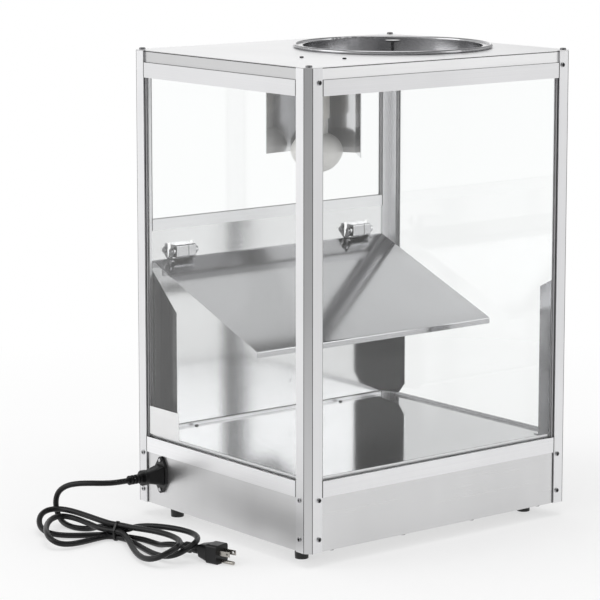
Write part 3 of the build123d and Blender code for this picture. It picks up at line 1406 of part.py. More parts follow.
def plug_body():
    x = 0
    body = None
    for length, radius in PLUG_RELIEF:
        rib = rod((x, 0, PLUG_AXIS_Z), (x + length, 0, PLUG_AXIS_Z), radius)
        body = rib if body is None else body + rib
        x += length
    body += loft([plug_section(x, PLUG_REAR_SIDE), plug_section(x + PLUG_REAR_L, PLUG_MID_SIDE)])
    x += PLUG_REAR_L
    body += extrude(plug_section(x, PLUG_WAIST_SIDE), PLUG_WAIST_L, dir=(1, 0, 0))
    x += PLUG_WAIST_L
    body += extrude(plug_section(x, PLUG_SIDE), PLUG_FRONT_L, dir=(1, 0, 0))
    for side in (-1, 1):
        body -= plug_blade(side, RUNNING)
    return plug_seat() * (body - earth_pin(RUNNING))


def plug_blades():
    return group([plug_seat() * plug_blade(side, 0) for side in (-1, 1)])


def plug_earth_pin():
    return plug_seat() * earth_pin(0)


# Blank plate on the side glass and the duct in the rear corner

LABEL_FRONT = 28.0
LABEL_W = 66.0
LABEL_Y0 = LABEL_FRONT - DEPTH / 2
LABEL_Y1 = LABEL_Y0 + LABEL_W
LABEL_Z0 = LIP_Z
LABEL_H = 38.0
LABEL_T = 0.3
DUCT_SIDE = 25.0
DUCT_REAR = 32.0
DUCT_RISE = 305.0
DUCT_LOW_RISE = 294.0
DUCT_X = WIDTH / 2 - DUCT_SIDE
DUCT_Y = DEPTH / 2 - DUCT_REAR
DUCT_TOP = Z0 + DUCT_RISE
DUCT_TOP_LOW = Z0 + DUCT_LOW_RISE
DUCT_FOOT = 8.0


def side_label():
    return wall_box("right", LABEL_Y0, LABEL_Y1, GLASS_D - LABEL_T, GLASS_D, LABEL_Z0, LABEL_Z0 + LABEL_H)


def corner_duct():
    rear = DEPTH / 2 - RAIL_D - FIT
    outer = WIDTH / 2 - RAIL_D - FIT
    face = [(-DUCT_X, DUCT_Y, PAN_Z1), (-DUCT_X, rear, PAN_Z1), (-DUCT_X, rear, DUCT_TOP),
            (-DUCT_X, DUCT_Y, DUCT_TOP_LOW)]
    duct = prism(face, (-1, 0, 0), THIN_SHEET)
    duct += block(-outer, -DUCT_X, DUCT_Y, DUCT_Y + THIN_SHEET, PAN_Z1, DUCT_TOP_LOW)
    duct += block(-DUCT_X, -DUCT_X + DUCT_FOOT, DUCT_Y, rear, PAN_Z1, PAN_Z1 + THIN_SHEET)
    return duct


def write_cabinet():
    for name, (side_x, side_y) in CORNERS.items():
        save(f"post_{name}", post(side_x, side_y))
    save("top_rails_long", group([top_rail(wall) for wall in LONG_WALLS]))
    save("top_rails_short", group([top_rail(wall) for wall in SHORT_WALLS]))
    save("base_rails_long", group([base_rail(wall) for wall in LONG_WALLS]))
    save("base_rails_short", group([base_rail(wall) for wall in SHORT_WALLS]))
    save("mid_rail", mid_rail())
    save("glass_front", pane("front", MID_SLOT_Z))
    save("glass_rear", pane("rear", BASE_SLOT_Z))
    save("glass_sides", group([pane(wall, BASE_SLOT_Z) for wall in SHORT_WALLS]))
    save("glass_seals", glass_seals())
    save("top_cover", top_cover())
    save("floor_pan", floor_pan())
    for wall in WALLS:
        save(f"{wall}_skirt", skirt(wall))
    save("base_plate", base_plate())
    save("feet", group([foot(x, y) for x, y in foot_places()]))
    save("base_screws", base_screws())
    save("frame_screws", frame_screws())
    save("top_screws", top_screws())
    save("black_pan_screws", black_pan_screws())
    save("corner_duct", corner_duct())
    save("side_label", side_label())


def write_front():
    save("header_plate", header_plate())
    save("header_rivets", header_rivets())
    save("baffle", baffle())
    save("hinge_bodies", group([hinge_body(x) for x in (-HINGE_X, HINGE_X)]))
    save("hinge_pins", group([hinge_pin(x) for x in (-HINGE_X, HINGE_X)]))
    save("door_hinge_arms", group([hinge_arm(centre, side) for centre, side in arm_places()]))
    save("door_panel", door_panel())
    save("door_pull", door_pull())
    save("door_rivets", door_rivets())


def write_top():
    save("lid_pan", lid_pan())
    save("lid_knob", lid_knob())
    save("lid_knob_screw", lid_knob_screw())
    save("lamp_shield", lamp_shield())
    save("lamp_holder", lamp_holder())
    save("lamp_cap", lamp_cap())
    save("lamp_bulb", lamp_bulb())


def write_electrics():
    save("switch_frame", switch_frame())
    save("switch_rocker", switch_rocker())
    save("heating_element", heating_element())
    save("element_clips", element_clips())
    save("thermostat", thermostat())
    save("terminal_block", terminal_block())
    save("wires", wires())
    save("inlet_body", inlet_body())
    save("inlet_screws", inlet_screws())
    save("cord_connector", cord_connector())


def write_cord():
    save("cord_lead", cord_lead())
    save("cord_hank", cord_hank())
    save("cord_tail", cord_tail())
    save("cord_tie", cord_tie())
    save("plug_body", plug_body())
    save("plug_blades", plug_blades())
    save("plug_earth_pin", plug_earth_pin())


write_cabinet()
write_front()
write_top()
write_electrics()
write_cord()
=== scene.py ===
# A counter-top chip warmer: four aluminium posts, glass walls, a sloping steel baffle behind a
# front door hinged at its top, a lift-off lid, a lamp in its shield, and a mains cord tied in a hank.
# Sizes are metres in the CAD frame: the door faces -Y, the mains inlet +X, and the counter is Z 0.
import json
import math

import bmesh
import bpy
from mathutils import Matrix, Vector

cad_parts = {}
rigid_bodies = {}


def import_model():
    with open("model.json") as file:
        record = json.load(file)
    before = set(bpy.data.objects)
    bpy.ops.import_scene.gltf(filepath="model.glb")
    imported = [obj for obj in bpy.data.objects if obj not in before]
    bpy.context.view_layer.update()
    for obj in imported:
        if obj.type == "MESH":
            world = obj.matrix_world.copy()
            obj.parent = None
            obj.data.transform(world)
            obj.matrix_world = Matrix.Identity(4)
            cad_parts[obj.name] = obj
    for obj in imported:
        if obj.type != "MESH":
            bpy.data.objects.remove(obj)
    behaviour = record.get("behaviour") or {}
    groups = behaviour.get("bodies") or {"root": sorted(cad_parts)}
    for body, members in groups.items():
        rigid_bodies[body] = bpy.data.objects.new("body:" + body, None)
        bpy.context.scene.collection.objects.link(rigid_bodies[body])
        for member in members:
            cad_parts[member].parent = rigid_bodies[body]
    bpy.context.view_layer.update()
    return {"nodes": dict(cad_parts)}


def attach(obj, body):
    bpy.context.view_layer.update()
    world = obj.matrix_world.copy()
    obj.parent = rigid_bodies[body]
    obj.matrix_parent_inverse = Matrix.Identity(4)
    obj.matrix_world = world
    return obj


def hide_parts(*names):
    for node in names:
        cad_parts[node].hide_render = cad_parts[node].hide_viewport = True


for spare in list(bpy.data.objects):
    bpy.data.objects.remove(spare)
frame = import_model()
nodes = frame["nodes"]


# Camera: a long lens seen from behind and to the right of the cabinet, a little above its top.
# The slight downward shift keeps the uprights nearly parallel, as they are in the photograph.
def add_object(name, data):
    thing = bpy.data.objects.new(name, data)
    bpy.context.scene.collection.objects.link(thing)
    return thing


def aim_along(thing, direction):
    """Turns a camera or a lamp to look along a direction."""
    thing.rotation_mode = "QUATERNION"
    thing.rotation_quaternion = direction.to_track_quat("-Z", "Y")


camera = add_object("camera", bpy.data.cameras.new("camera"))
bpy.context.scene.camera = camera
camera.data.lens = 161.31
camera.data.sensor_width = 36.0
camera.data.shift_y = -0.1
camera.data.clip_start, camera.data.clip_end = 0.1, 60.0
camera.location = (2.2746, 2.7442, 0.9209)
turn, dip = math.radians(-128.536), math.radians(-8.69)
aim_along(camera, Vector((math.cos(dip) * math.cos(turn), math.cos(dip) * math.sin(turn), math.sin(dip))))


# Corner posts: extruded aluminium, chamfered at the outer corner and slotted for the glass.
# The drawing marks of the die run up each post, under a satin clear finish.
HALF_WIDTH, HALF_DEPTH = 0.225, 0.186
CHAMFER_LINE = 0.0079
CHAMFER_SHADE_HALF = 0.0005
# The seam tone is painted shade, laid along the seam lines in the gaps and folds.
SEAM_SHADE_TONE = 0.12
MARK_DEPTH = 0.0002
SQUARE_ON = 0.93
INNER_SIDE = 0.5


def connect(tree, node, sockets):
    """Fills a node's sockets: a plain value is set, and another node's output is linked."""
    for socket, value in sockets.items():
        if isinstance(value, bpy.types.NodeSocket):
            tree.links.new(value, node.inputs[socket])
        else:
            node.inputs[socket].default_value = value


def add_node(tree, kind, sockets=None, **choices):
    """Adds a shader node, makes its choices and fills its sockets."""
    node = tree.nodes.new("ShaderNode" + kind)
    for choice, value in choices.items():
        setattr(node, choice, value)
    connect(tree, node, sockets or {})
    return node


def math_node(tree, operation, first, second=0.0):
    return add_node(tree, "Math", {0: first, 1: second}, operation=operation).outputs["Value"]


def ramp_down(tree, value, start, end, high, low, interpolation="LINEAR"):
    """Goes evenly from the high level at the start to the low level at the end."""
    fall = add_node(tree, "MapRange", {"Value": value, "From Min": start, "From Max": end,
                                       "To Min": high, "To Max": low}, interpolation_type=interpolation)
    return fall.outputs["Result"]


def multiply(tree, amount, base, tint):
    """Multiplies a colour by a tint, by the amount given at each place."""
    mixed = add_node(tree, "Mix", {"Factor": amount, "A": base, "B": tint}, data_type="RGBA",
                     blend_type="MULTIPLY")
    return mixed.outputs["Result"]


def varied(tree, amount, colour, spread, low, high):
    """Lets a colour wander by a share either way, as the amount goes from low to high."""
    tone = add_node(tree, "ValToRGB", {"Fac": amount})
    for stop, position, share in zip(tone.color_ramp.elements, (low, high), (1 - spread, 1 + spread)):
        stop.position = position
        stop.color = (*[min(part * share, 1.0) for part in colour], 1)
    return tone.outputs["Color"]


def seam_shade_lines(tree, split, shaded_seams):
    """The fine lines of painted shade at each distance from the middle along an axis, on both sides."""
    line = 0.0
    for axis, distance, half_width in shaded_seams:
        away = math_node(tree, "SUBTRACT", math_node(tree, "ABSOLUTE", split.outputs[axis]), distance)
        near = math_node(tree, "LESS_THAN", math_node(tree, "ABSOLUTE", away), half_width)
        line = math_node(tree, "MAXIMUM", near, line)
    return line


def painted_reflection_band(tree, split, normal, middle, half_width):
    """A soft upright band of painted reflection about one X, on the faces turned to +Y."""
    away = math_node(tree, "ABSOLUTE", math_node(tree, "SUBTRACT", split.outputs["X"], middle))
    near = ramp_down(tree, away, 0.0, half_width, 1.0, 0.0, "SMOOTHSTEP")
    turned = add_node(tree, "SeparateXYZ", {"Vector": normal})
    inner_face = math_node(tree, "GREATER_THAN", turned.outputs["Y"], INNER_SIDE)
    return math_node(tree, "MULTIPLY", near, inner_face)


def faces_for_painted_shade(tree, normal, direction):
    """The faces that are square to a direction, on either side of the piece, which get painted shade."""
    either_way = add_node(tree, "VectorMath", {0: normal}, operation="ABSOLUTE").outputs["Vector"]
    along = add_node(tree, "VectorMath", {0: either_way, 1: Vector(direction).normalized()},
                     operation="DOT_PRODUCT")
    return math_node(tree, "GREATER_THAN", along.outputs["Value"], SQUARE_ON)


def drawn_metal(name, colour, roughness, grain, streak=0.10, bump_depth=0.05, wander=0.06, cloud=0.05,
                cloud_scale=(7.0, 7.0, 7.0), shaded_seams=(), reflection_band=None, facing_shade=None):
    """Drawn, rolled or brushed metal: grain is the noise scale on each axis, small along the lines.

    The seam entries are (axis, distance from the middle, half width) of fine lines of painted shade at gaps
    and folds.
    The band is the (X, half width, tone) of a painted reflection, a dark upright band on the faces turned
    to +Y, and the facing is the (direction, tone) of painted shade on the faces square to it. None of these
    is made by the light.
    """
    material = bpy.data.materials.new(name)
    material.use_nodes = True
    tree = material.node_tree
    coordinates = add_node(tree, "TexCoord")
    place, normal = coordinates.outputs["Object"], coordinates.outputs["Normal"]
    drawn_out = add_node(tree, "Mapping", {"Vector": place, "Scale": grain}).outputs["Vector"]
    lines = add_node(tree, "TexNoise", {"Vector": drawn_out, "Scale": 1.0, "Detail": 4.0,
                                        "Roughness": 0.6}).outputs["Fac"]
    broad = add_node(tree, "Mapping", {"Vector": place, "Scale": cloud_scale}).outputs["Vector"]
    clouds = add_node(tree, "TexNoise", {"Vector": broad, "Scale": 1.0, "Detail": 3.0}).outputs["Fac"]
    soft = add_node(tree, "MapRange", {"Value": clouds, "From Min": 0.3, "From Max": 0.7,
                                       "To Min": 1 - cloud, "To Max": 1.0}).outputs["Result"]
    finish = multiply(tree, 1.0, varied(tree, lines, colour, streak, 0.30, 0.70), soft)
    split = add_node(tree, "SeparateXYZ", {"Vector": place})
    # Painted shade along the seams.
    if shaded_seams:
        finish = multiply(tree, seam_shade_lines(tree, split, shaded_seams), finish, (*3 * [SEAM_SHADE_TONE], 1))
    # Painted reflection: a dark upright band.
    if reflection_band:
        middle, half_width, tone = reflection_band
        finish = multiply(tree, painted_reflection_band(tree, split, normal, middle, half_width), finish,
                          (*3 * [tone], 1))
    # Painted shade on the faces square to one direction.
    if facing_shade:
        direction, tone = facing_shade
        finish = multiply(tree, faces_for_painted_shade(tree, normal, direction), finish, (*3 * [tone], 1))
    shine = add_node(tree, "MapRange", {"Value": lines, "To Min": max(roughness - wander, 0.02),
                                        "To Max": roughness + wander})
    bump = add_node(tree, "Bump", {"Height": lines, "Strength": bump_depth, "Distance": MARK_DEPTH})
    connect(tree, tree.nodes["Principled BSDF"],
            {"Base Color": finish, "Metallic": 1.0, "Roughness": shine.outputs["Result"],
             "Normal": bump.outputs["Normal"]})
    return material


def dress(material, *names):
    """Gives CAD nodes a finish in their own material slots."""
    for name in names:
        for slot in nodes[name].material_slots:
            slot.material = material


# On each post the chamfer is darkened, and its two edges are drawn as dark lines: painted shade.
chamfer_shade_lines = (("X", HALF_WIDTH - CHAMFER_LINE, CHAMFER_SHADE_HALF),
                 ("Y", HALF_DEPTH - CHAMFER_LINE, CHAMFER_SHADE_HALF))
dress(drawn_metal("post_finish", colour=(0.80, 0.80, 0.81), roughness=0.36, grain=(1400.0, 1400.0, 5.0),
                  streak=0.03, bump_depth=0.02, shaded_seams=chamfer_shade_lines, facing_shade=((1, 1, 0), 0.80)),
      "post_front_left", "post_front_right", "post_rear_left", "post_rear_right")


# Rails: the same extruded aluminium, lying level between the posts at the top, over the base and
# across the front. They push into the posts' slots and hold the glass in a groove.
RAIL_TOP = 0.616
RAIL_END = 0.0242
RAIL_GAP_SHADE_HALF = 0.0008
# The rail ends beside the posts are drawn as dark lines and the rails' top faces darkened: painted shade.
# The short top rails are toned darker and the short base rails lighter than the long ones, as painted shade
# and painted light on the one aluminium.
long_rail_end_shade = (("X", HALF_WIDTH - RAIL_END, RAIL_GAP_SHADE_HALF),)
short_rail_end_shade = (("Y", HALF_DEPTH - RAIL_END, RAIL_GAP_SHADE_HALF),)
dress(drawn_metal("long_rail_finish", colour=(0.80, 0.80, 0.81), roughness=0.30, streak=0.03,
                  grain=(5.0, 1400.0, 1400.0), bump_depth=0.02, shaded_seams=long_rail_end_shade,
                  facing_shade=((0, 0, 1), 0.3)),
      "top_rails_long", "base_rails_long", "mid_rail")
dress(drawn_metal("short_rail_shaded_tone", colour=(0.74, 0.74, 0.75), roughness=0.30, streak=0.03,
                  grain=(1400.0, 5.0, 1400.0), bump_depth=0.02, shaded_seams=short_rail_end_shade,
                  facing_shade=((0, 0, 1), 0.3)),
      "top_rails_short")
dress(drawn_metal("base_rail_lit_and_shaded", colour=(0.93, 0.93, 0.94), roughness=0.30, streak=0.03,
                  grain=(1400.0, 5.0, 1400.0), bump_depth=0.02, shaded_seams=short_rail_end_shade,
                  facing_shade=((0, 0, 1), 0.12)),
      "base_rails_short")


# Glass: 4 mm clear tempered panes, slid into the grooves, with a rubber channel on their upright
# edges. The channel is grey, and black where its outer lips show beside the posts.
SEAL_START_X, SEAL_START_Y = HALF_WIDTH - 0.025, HALF_DEPTH - 0.025
LIP_START_X, LIP_START_Y = HALF_WIDTH - 0.0055, HALF_DEPTH - 0.007
LIP_BLACK = (0.012, 0.012, 0.012, 1)


def clear_pane(name):
    """Clear glass with a faint uneven film, through which light passes straight to what is inside."""
    material = bpy.data.materials.new(name)
    material.use_nodes = True
    tree = material.node_tree
    place = add_node(tree, "TexCoord").outputs["Object"]
    film = add_node(tree, "TexNoise", {"Vector": place, "Scale": 9.0, "Detail": 4.0}).outputs["Fac"]
    haze = add_node(tree, "MapRange", {"Value": film, "From Min": 0.35, "From Max": 0.75,
                                       "To Min": 0.0, "To Max": 0.012})
    shader = tree.nodes["Principled BSDF"]
    connect(tree, shader, {"Base Color": (0.985, 0.992, 0.99, 1), "Transmission Weight": 1.0, "IOR": 1.45,
                           "Roughness": haze.outputs["Result"]})
    path = add_node(tree, "LightPath")
    unbent = math_node(tree, "MAXIMUM", path.outputs["Is Shadow Ray"], path.outputs["Is Diffuse Ray"])
    clear = add_node(tree, "BsdfTransparent")
    pane = add_node(tree, "MixShader", {"Fac": unbent, 1: shader.outputs["BSDF"], 2: clear.outputs["BSDF"]})
    connect(tree, tree.nodes["Material Output"], {"Surface": pane.outputs["Shader"]})
    return material


def moulded(name, colour, roughness, pits, grain=900.0, spread=0.25, gloss=0.5):
    """Moulded rubber or plastic: a fine even grain, and broad soft patches where it has been handled."""
    material = bpy.data.materials.new(name)
    material.use_nodes = True
    tree = material.node_tree
    place = add_node(tree, "TexCoord").outputs["Object"]
    patches = add_node(tree, "TexNoise", {"Vector": place, "Scale": 38.0, "Detail": 5.0}).outputs["Fac"]
    pitting = add_node(tree, "TexNoise", {"Vector": place, "Scale": grain, "Detail": 3.0}).outputs["Fac"]
    shine = add_node(tree, "MapRange", {"Value": patches, "To Min": roughness - 0.07,
                                        "To Max": roughness + 0.10})
    bump = add_node(tree, "Bump", {"Height": pitting, "Strength": pits, "Distance": MARK_DEPTH})
    connect(tree, tree.nodes["Principled BSDF"],
            {"Base Color": varied(tree, patches, colour, spread, 0.35, 0.68), "Specular IOR Level": gloss,
             "Roughness": shine.outputs["Result"], "Normal": bump.outputs["Normal"]})
    return material


def black_outer_lips(material):
    """Blackens the rubber that lies outside the glass at the corners."""
    tree = material.node_tree
    split = add_node(tree, "SeparateXYZ", {"Vector": add_node(tree, "TexCoord").outputs["Object"]})

    def past(axis, edge):
        return math_node(tree, "GREATER_THAN", math_node(tree, "ABSOLUTE", split.outputs[axis]), edge)

    at_corner = math_node(tree, "MULTIPLY", past("X", SEAL_START_X), past("Y", SEAL_START_Y))
    outer = math_node(tree, "MAXIMUM", past("X", LIP_START_X), past("Y", LIP_START_Y))
    shader = tree.nodes["Principled BSDF"]
    grey = shader.inputs["Base Color"].links[0].from_socket
    lips = add_node(tree, "Mix", {"Factor": math_node(tree, "MULTIPLY", at_corner, outer), "A": grey,
                                  "B": LIP_BLACK}, data_type="RGBA")
    connect(tree, shader, {"Base Color": lips.outputs["Result"]})


seal_rubber = moulded("seal_rubber", colour=(0.38, 0.38, 0.39), roughness=0.5, pits=0.10, spread=0.06)
black_outer_lips(seal_rubber)
dress(clear_pane("tempered_glass"), "glass_front", "glass_rear", "glass_sides")
dress(seal_rubber, "glass_seals")


# Top cover: one sheet of satin stainless steel, its edges turned down between the rails and cut
# back at the corners round the posts.
COVER_TOP = 0.632
COVER_FOLD = 0.0014
# The turned-down edges square to X are darkened, and dark lines are drawn at the fold and along the rail
# tops: painted shade.
dress(drawn_metal("cover_finish", colour=(0.88, 0.88, 0.885), roughness=0.34, grain=(6.0, 900.0, 900.0),
                  streak=0.02, bump_depth=0.02, facing_shade=((1, 0, 0), 0.68),
                  shaded_seams=(("Z", COVER_TOP - COVER_FOLD, 0.0006), ("Z", RAIL_TOP, 0.0004))),
      "top_cover")


# Skirts and base plate: folded stainless sheet, brushed along its length. The four skirts are
# screwed to the posts, and the plate closes the base from below.
# The front and rear skirts are toned darker than the side ones, as painted shade and painted light on the
# one sheet, and their ends beside the posts are drawn dark as painted shade.
dress(drawn_metal("long_skirt_finish", colour=(0.70, 0.70, 0.705), roughness=0.27, streak=0.008,
                  grain=(2.0, 500.0, 500.0), wander=0.012, bump_depth=0.004, cloud=0.10,
                  cloud_scale=(9.0, 9.0, 4.0), shaded_seams=long_rail_end_shade),
      "front_skirt", "rear_skirt")
dress(drawn_metal("short_skirt_finish", colour=(0.76, 0.76, 0.765), roughness=0.36, streak=0.008,
                  grain=(500.0, 2.0, 500.0), wander=0.012, bump_depth=0.004, cloud=0.10,
                  cloud_scale=(9.0, 9.0, 4.0), shaded_seams=short_rail_end_shade),
      "left_skirt", "right_skirt")
dress(drawn_metal("base_finish", colour=(0.62, 0.62, 0.62), roughness=0.4, grain=(5.0, 700.0, 700.0),
                  streak=0.08),
      "base_plate", "element_clips")


# Floor pan, baffle and corner duct: bright stainless sheet inside the bin, wiped along X.
# The baffle slopes down to the door, so that the chips slide to it.
dress(drawn_metal("floor_finish", colour=(0.52, 0.52, 0.53), roughness=0.09, grain=(4.0, 900.0, 900.0),
                  streak=0.03, bump_depth=0.010, cloud=0.06),
      "floor_pan")
dress(drawn_metal("baffle_finish", colour=(0.48, 0.48, 0.49), roughness=0.11, grain=(4.0, 900.0, 900.0),
                  streak=0.03, bump_depth=0.010, cloud=0.06),
      "baffle", "corner_duct")


# Door, pull and header: the same sheet, brushed upright on the door and level on the header.
# The door hangs on its hinge arms and laps the header plate above it, and its pull is riveted on.
# The door's side cheeks are darkened nearly to black, as painted shade, and the dark upright band on its
# inner face is a painted reflection.
dress(drawn_metal("door_finish", colour=(0.76, 0.76, 0.765), roughness=0.12, grain=(900.0, 900.0, 4.0),
                  streak=0.03, bump_depth=0.012, cloud=0.06, facing_shade=((1, 0, 0), 0.08),
                  reflection_band=(0.068, 0.026, 0.50)),
      "door_panel", "door_rivets")
# The dark upright band on the inner face of the header and pull is a painted reflection.
dress(drawn_metal("header_finish", colour=(0.80, 0.80, 0.805), roughness=0.14, grain=(4.0, 900.0, 900.0),
                  streak=0.03, bump_depth=0.012, cloud=0.08, reflection_band=(0.063, 0.020, 0.72)),
      "door_pull", "header_plate")


# Hinges: chromed blocks with a steel pin, and arms that carry the door. Each arm turns on the
# pin and passes through the header to the door.
# The hinge faces square to X are darkened: painted shade.
dress(drawn_metal("chrome", colour=(0.55, 0.55, 0.56), roughness=0.10, grain=(120.0, 120.0, 120.0),
                  streak=0.04, facing_shade=((1, 0, 0), 0.35)),
      "hinge_bodies", "hinge_pins", "door_hinge_arms")


# Lid and knob: a dished steel pan with a beaded rim, hung in the cover's round hole and lifted
# off by a dark turned knob on a screw.
dress(drawn_metal("lid_finish", colour=(0.48, 0.48, 0.49), roughness=0.18, grain=(500.0, 500.0, 500.0),
                  streak=0.05, cloud=0.12),
      "lid_pan")
dress(drawn_metal("knob_finish", colour=(0.12, 0.12, 0.125), roughness=0.22, grain=(500.0, 500.0, 500.0),
                  streak=0.08),
      "lid_knob")


# Lamp: an opal bulb with a brass cap, in a glazed ceramic holder. It hangs from the top cover
# behind a bent, mirror-finished shield.
dress(drawn_metal("mirror_finish", colour=(0.70, 0.70, 0.71), roughness=0.12, grain=(900.0, 900.0, 5.0),
                  streak=0.04, cloud=0.12),
      "lamp_shield")
dress(drawn_metal("lamp_cap_brass", colour=(0.72, 0.58, 0.34), roughness=0.28, streak=0.08,
                  grain=(300.0, 300.0, 1200.0)),
      "lamp_cap")
dress(moulded("glazed_ceramic", colour=(0.80, 0.78, 0.74), roughness=0.28, pits=0.05, grain=300.0,
              spread=0.04),
      "lamp_holder")
dress(moulded("opal_glass", colour=(0.76, 0.75, 0.73), roughness=0.32, pits=0.02, grain=200.0,
              spread=0.03),
      "lamp_bulb")


# Screws and rivets: plated pan-head screws, turned from bar with a cross recess punched in the head.
# They hold the skirts and rails to the posts and the cover to the posts' tops, and those for the
# lamp and floor are blackened.
SKIRT_SCREW_HEIGHTS = (0.0362, 0.0868)
RAIL_SCREW_HEIGHT = 0.613
LONG_WALL_SCREW_IN = 0.0183
SHORT_WALL_SCREW_IN = 0.0161
CAP_SCREW_IN = 0.0092
HEAD_SIDES = 32
RIM_STEPS = 4
RIM_SHARE = 0.45
CROSS_ARM, CROSS_HALF = 0.56, 0.15
CROSS_TAPER = 0.72
CROSS_FLOOR = 0.35


def cross_head_screw(shape, seat, outward, head_r, head_h, shank_r, shank_l):
    """Adds one pan-head screw: a turned head with a rounded rim, and a cross recess punched in it."""
    turned = Vector(outward).to_track_quat("Z", "Y").to_matrix().to_4x4()
    stand = Matrix.Translation(seat) @ turned
    rim = RIM_SHARE * head_h
    profile = [(shank_r, -shank_l), (shank_r, 0.0), (head_r, 0.0)]
    for step in range(RIM_STEPS + 1):
        angle = math.radians(90 * step / RIM_STEPS)
        profile.append((head_r - rim + rim * math.cos(angle), head_h - rim + rim * math.sin(angle)))
    rings = []
    for radius, height in profile:
        made = bmesh.ops.create_circle(shape, segments=HEAD_SIDES, radius=radius,
                                       matrix=stand @ Matrix.Translation((0, 0, height)))
        rings.append(made["verts"])
    shape.faces.new(list(reversed(rings[0])))
    for low, high in zip(rings, rings[1:]):
        for here in range(HEAD_SIDES):
            ahead = (here + 1) % HEAD_SIDES
            shape.faces.new((low[here], low[ahead], high[ahead], high[here]))
    arm, half = CROSS_ARM * head_r, CROSS_HALF * head_r
    quarter = [(arm, -half), (arm, half), (half, half)]
    outline = []
    for turns in range(4):
        c, s = math.cos(turns * math.pi / 2), math.sin(turns * math.pi / 2)
        outline += [(c * x - s * y, s * x + c * y) for x, y in quarter]
    top = [shape.verts.new(stand @ Vector((x, y, head_h))) for x, y in outline]
    floor = [shape.verts.new(stand @ Vector((x * CROSS_TAPER, y * CROSS_TAPER, head_h * CROSS_FLOOR)))
             for x, y in outline]
    shape.faces.new(floor)
    pairs = list(zip(range(len(outline)), [*range(1, len(outline)), 0]))
    for here, ahead in pairs:
        shape.faces.new((top[here], floor[here], floor[ahead], top[ahead]))
    edges = {edge for ring in (rings[-1], top) for vert in ring for edge in vert.link_edges
             if all(end in ring for end in edge.verts)}
    edges |= {shape.edges.get((top[here], top[ahead])) for here, ahead in pairs}
    # the triangles that this makes between rim and cross overlap, and cover much of the recess
    bmesh.ops.bridge_loops(shape, edges=list(edges))


def screw_set(name, node, seats, material, head_r, head_h, shank_r, shank_l):
    """One object for a whole set of like screws, standing in for the set's CAD node."""
    mesh = bpy.data.meshes.new(name)
    shape = bmesh.new()
    for seat, outward in seats:
        cross_head_screw(shape, seat, outward, head_r, head_h, shank_r, shank_l)
    bmesh.ops.recalc_face_normals(shape, faces=shape.faces)
    shape.to_mesh(mesh)
    shape.free()
    screws = add_object(name, mesh)
    mesh.materials.append(material)
    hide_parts(node)
    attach(screws, "cabinet")


post_seats = []
for side in (-1, 1):
    for wall in (-1, 1):
        for height in (*SKIRT_SCREW_HEIGHTS, RAIL_SCREW_HEIGHT):
            along = side * (HALF_WIDTH - LONG_WALL_SCREW_IN)
            post_seats.append(((along, wall * HALF_DEPTH, height), (0, wall, 0)))
        for height in SKIRT_SCREW_HEIGHTS:
            along = side * (HALF_DEPTH - SHORT_WALL_SCREW_IN)
            post_seats.append(((wall * HALF_WIDTH, along, height), (wall, 0, 0)))
cap_seats = [((x * (HALF_WIDTH - CAP_SCREW_IN), y * (HALF_DEPTH - CAP_SCREW_IN), COVER_TOP), (0, 0, 1))
             for x in (-1, 1) for y in (-1, 1)]
# The plated screw heads on the front and rear walls are darkened: painted shade.
plated = drawn_metal("plated_steel", colour=(0.50, 0.50, 0.51), roughness=0.22, streak=0.10,
                     grain=(600.0, 600.0, 600.0), facing_shade=((0, 1, 0), 0.25))
dark_plated = drawn_metal("dark_plated_steel", colour=(0.22, 0.22, 0.225), roughness=0.26, streak=0.12,
                          grain=(600.0, 600.0, 600.0))
screw_set("post_screws", "frame_screws", post_seats, plated,
          head_r=0.0032, head_h=0.0016, shank_r=0.00175, shank_l=0.0055)
screw_set("cap_screws", "top_screws", cap_seats, dark_plated,
          head_r=0.00425, head_h=0.0024, shank_r=0.00205, shank_l=0.022)
dress(plated, "base_screws", "inlet_screws")
dress(dark_plated, "header_rivets", "lid_knob_screw")
dress(drawn_metal("blackened_steel", colour=(0.03, 0.03, 0.032), roughness=0.35, streak=0.2,
                  grain=(600.0, 600.0, 600.0)),
      "black_pan_screws")


# Feet, switch and inlet: black rubber feet under the base, and a moulded rocker switch in the
# front skirt and mains inlet in the right one.
dress(moulded("foot_rubber", colour=(0.009, 0.009, 0.009), roughness=0.45, pits=0.2), "feet")
dress(moulded("black_moulding", colour=(0.008, 0.008, 0.0085), roughness=0.32, pits=0.12),
      "switch_frame", "switch_rocker", "inlet_body")


# Inside the base: a steel-sheathed heating element, the thermostat, the terminal block and the
# insulated wires between them.
dress(drawn_metal("element_sheath", colour=(0.30, 0.28, 0.26), roughness=0.42, streak=0.15,
                  grain=(400.0, 400.0, 400.0)),
      "heating_element")
dress(moulded("stat_plastic", colour=(0.10, 0.07, 0.05), roughness=0.45, pits=0.1), "thermostat")
dress(moulded("block_plastic", colour=(0.75, 0.74, 0.70), roughness=0.42, pits=0.08, spread=0.05),
      "terminal_block")
dress(moulded("wire_jacket", colour=(0.03, 0.03, 0.032), roughness=0.40, pits=0.08), "wires")


# Rating plate: a thin white enamelled foil, stuck flat on the side glass.
# It is left blank, with nothing printed on it.
dress(moulded("blank_foil", colour=(0.90, 0.90, 0.90), roughness=0.40, pits=0.03, grain=300.0,
              spread=0.02),
      "side_label")


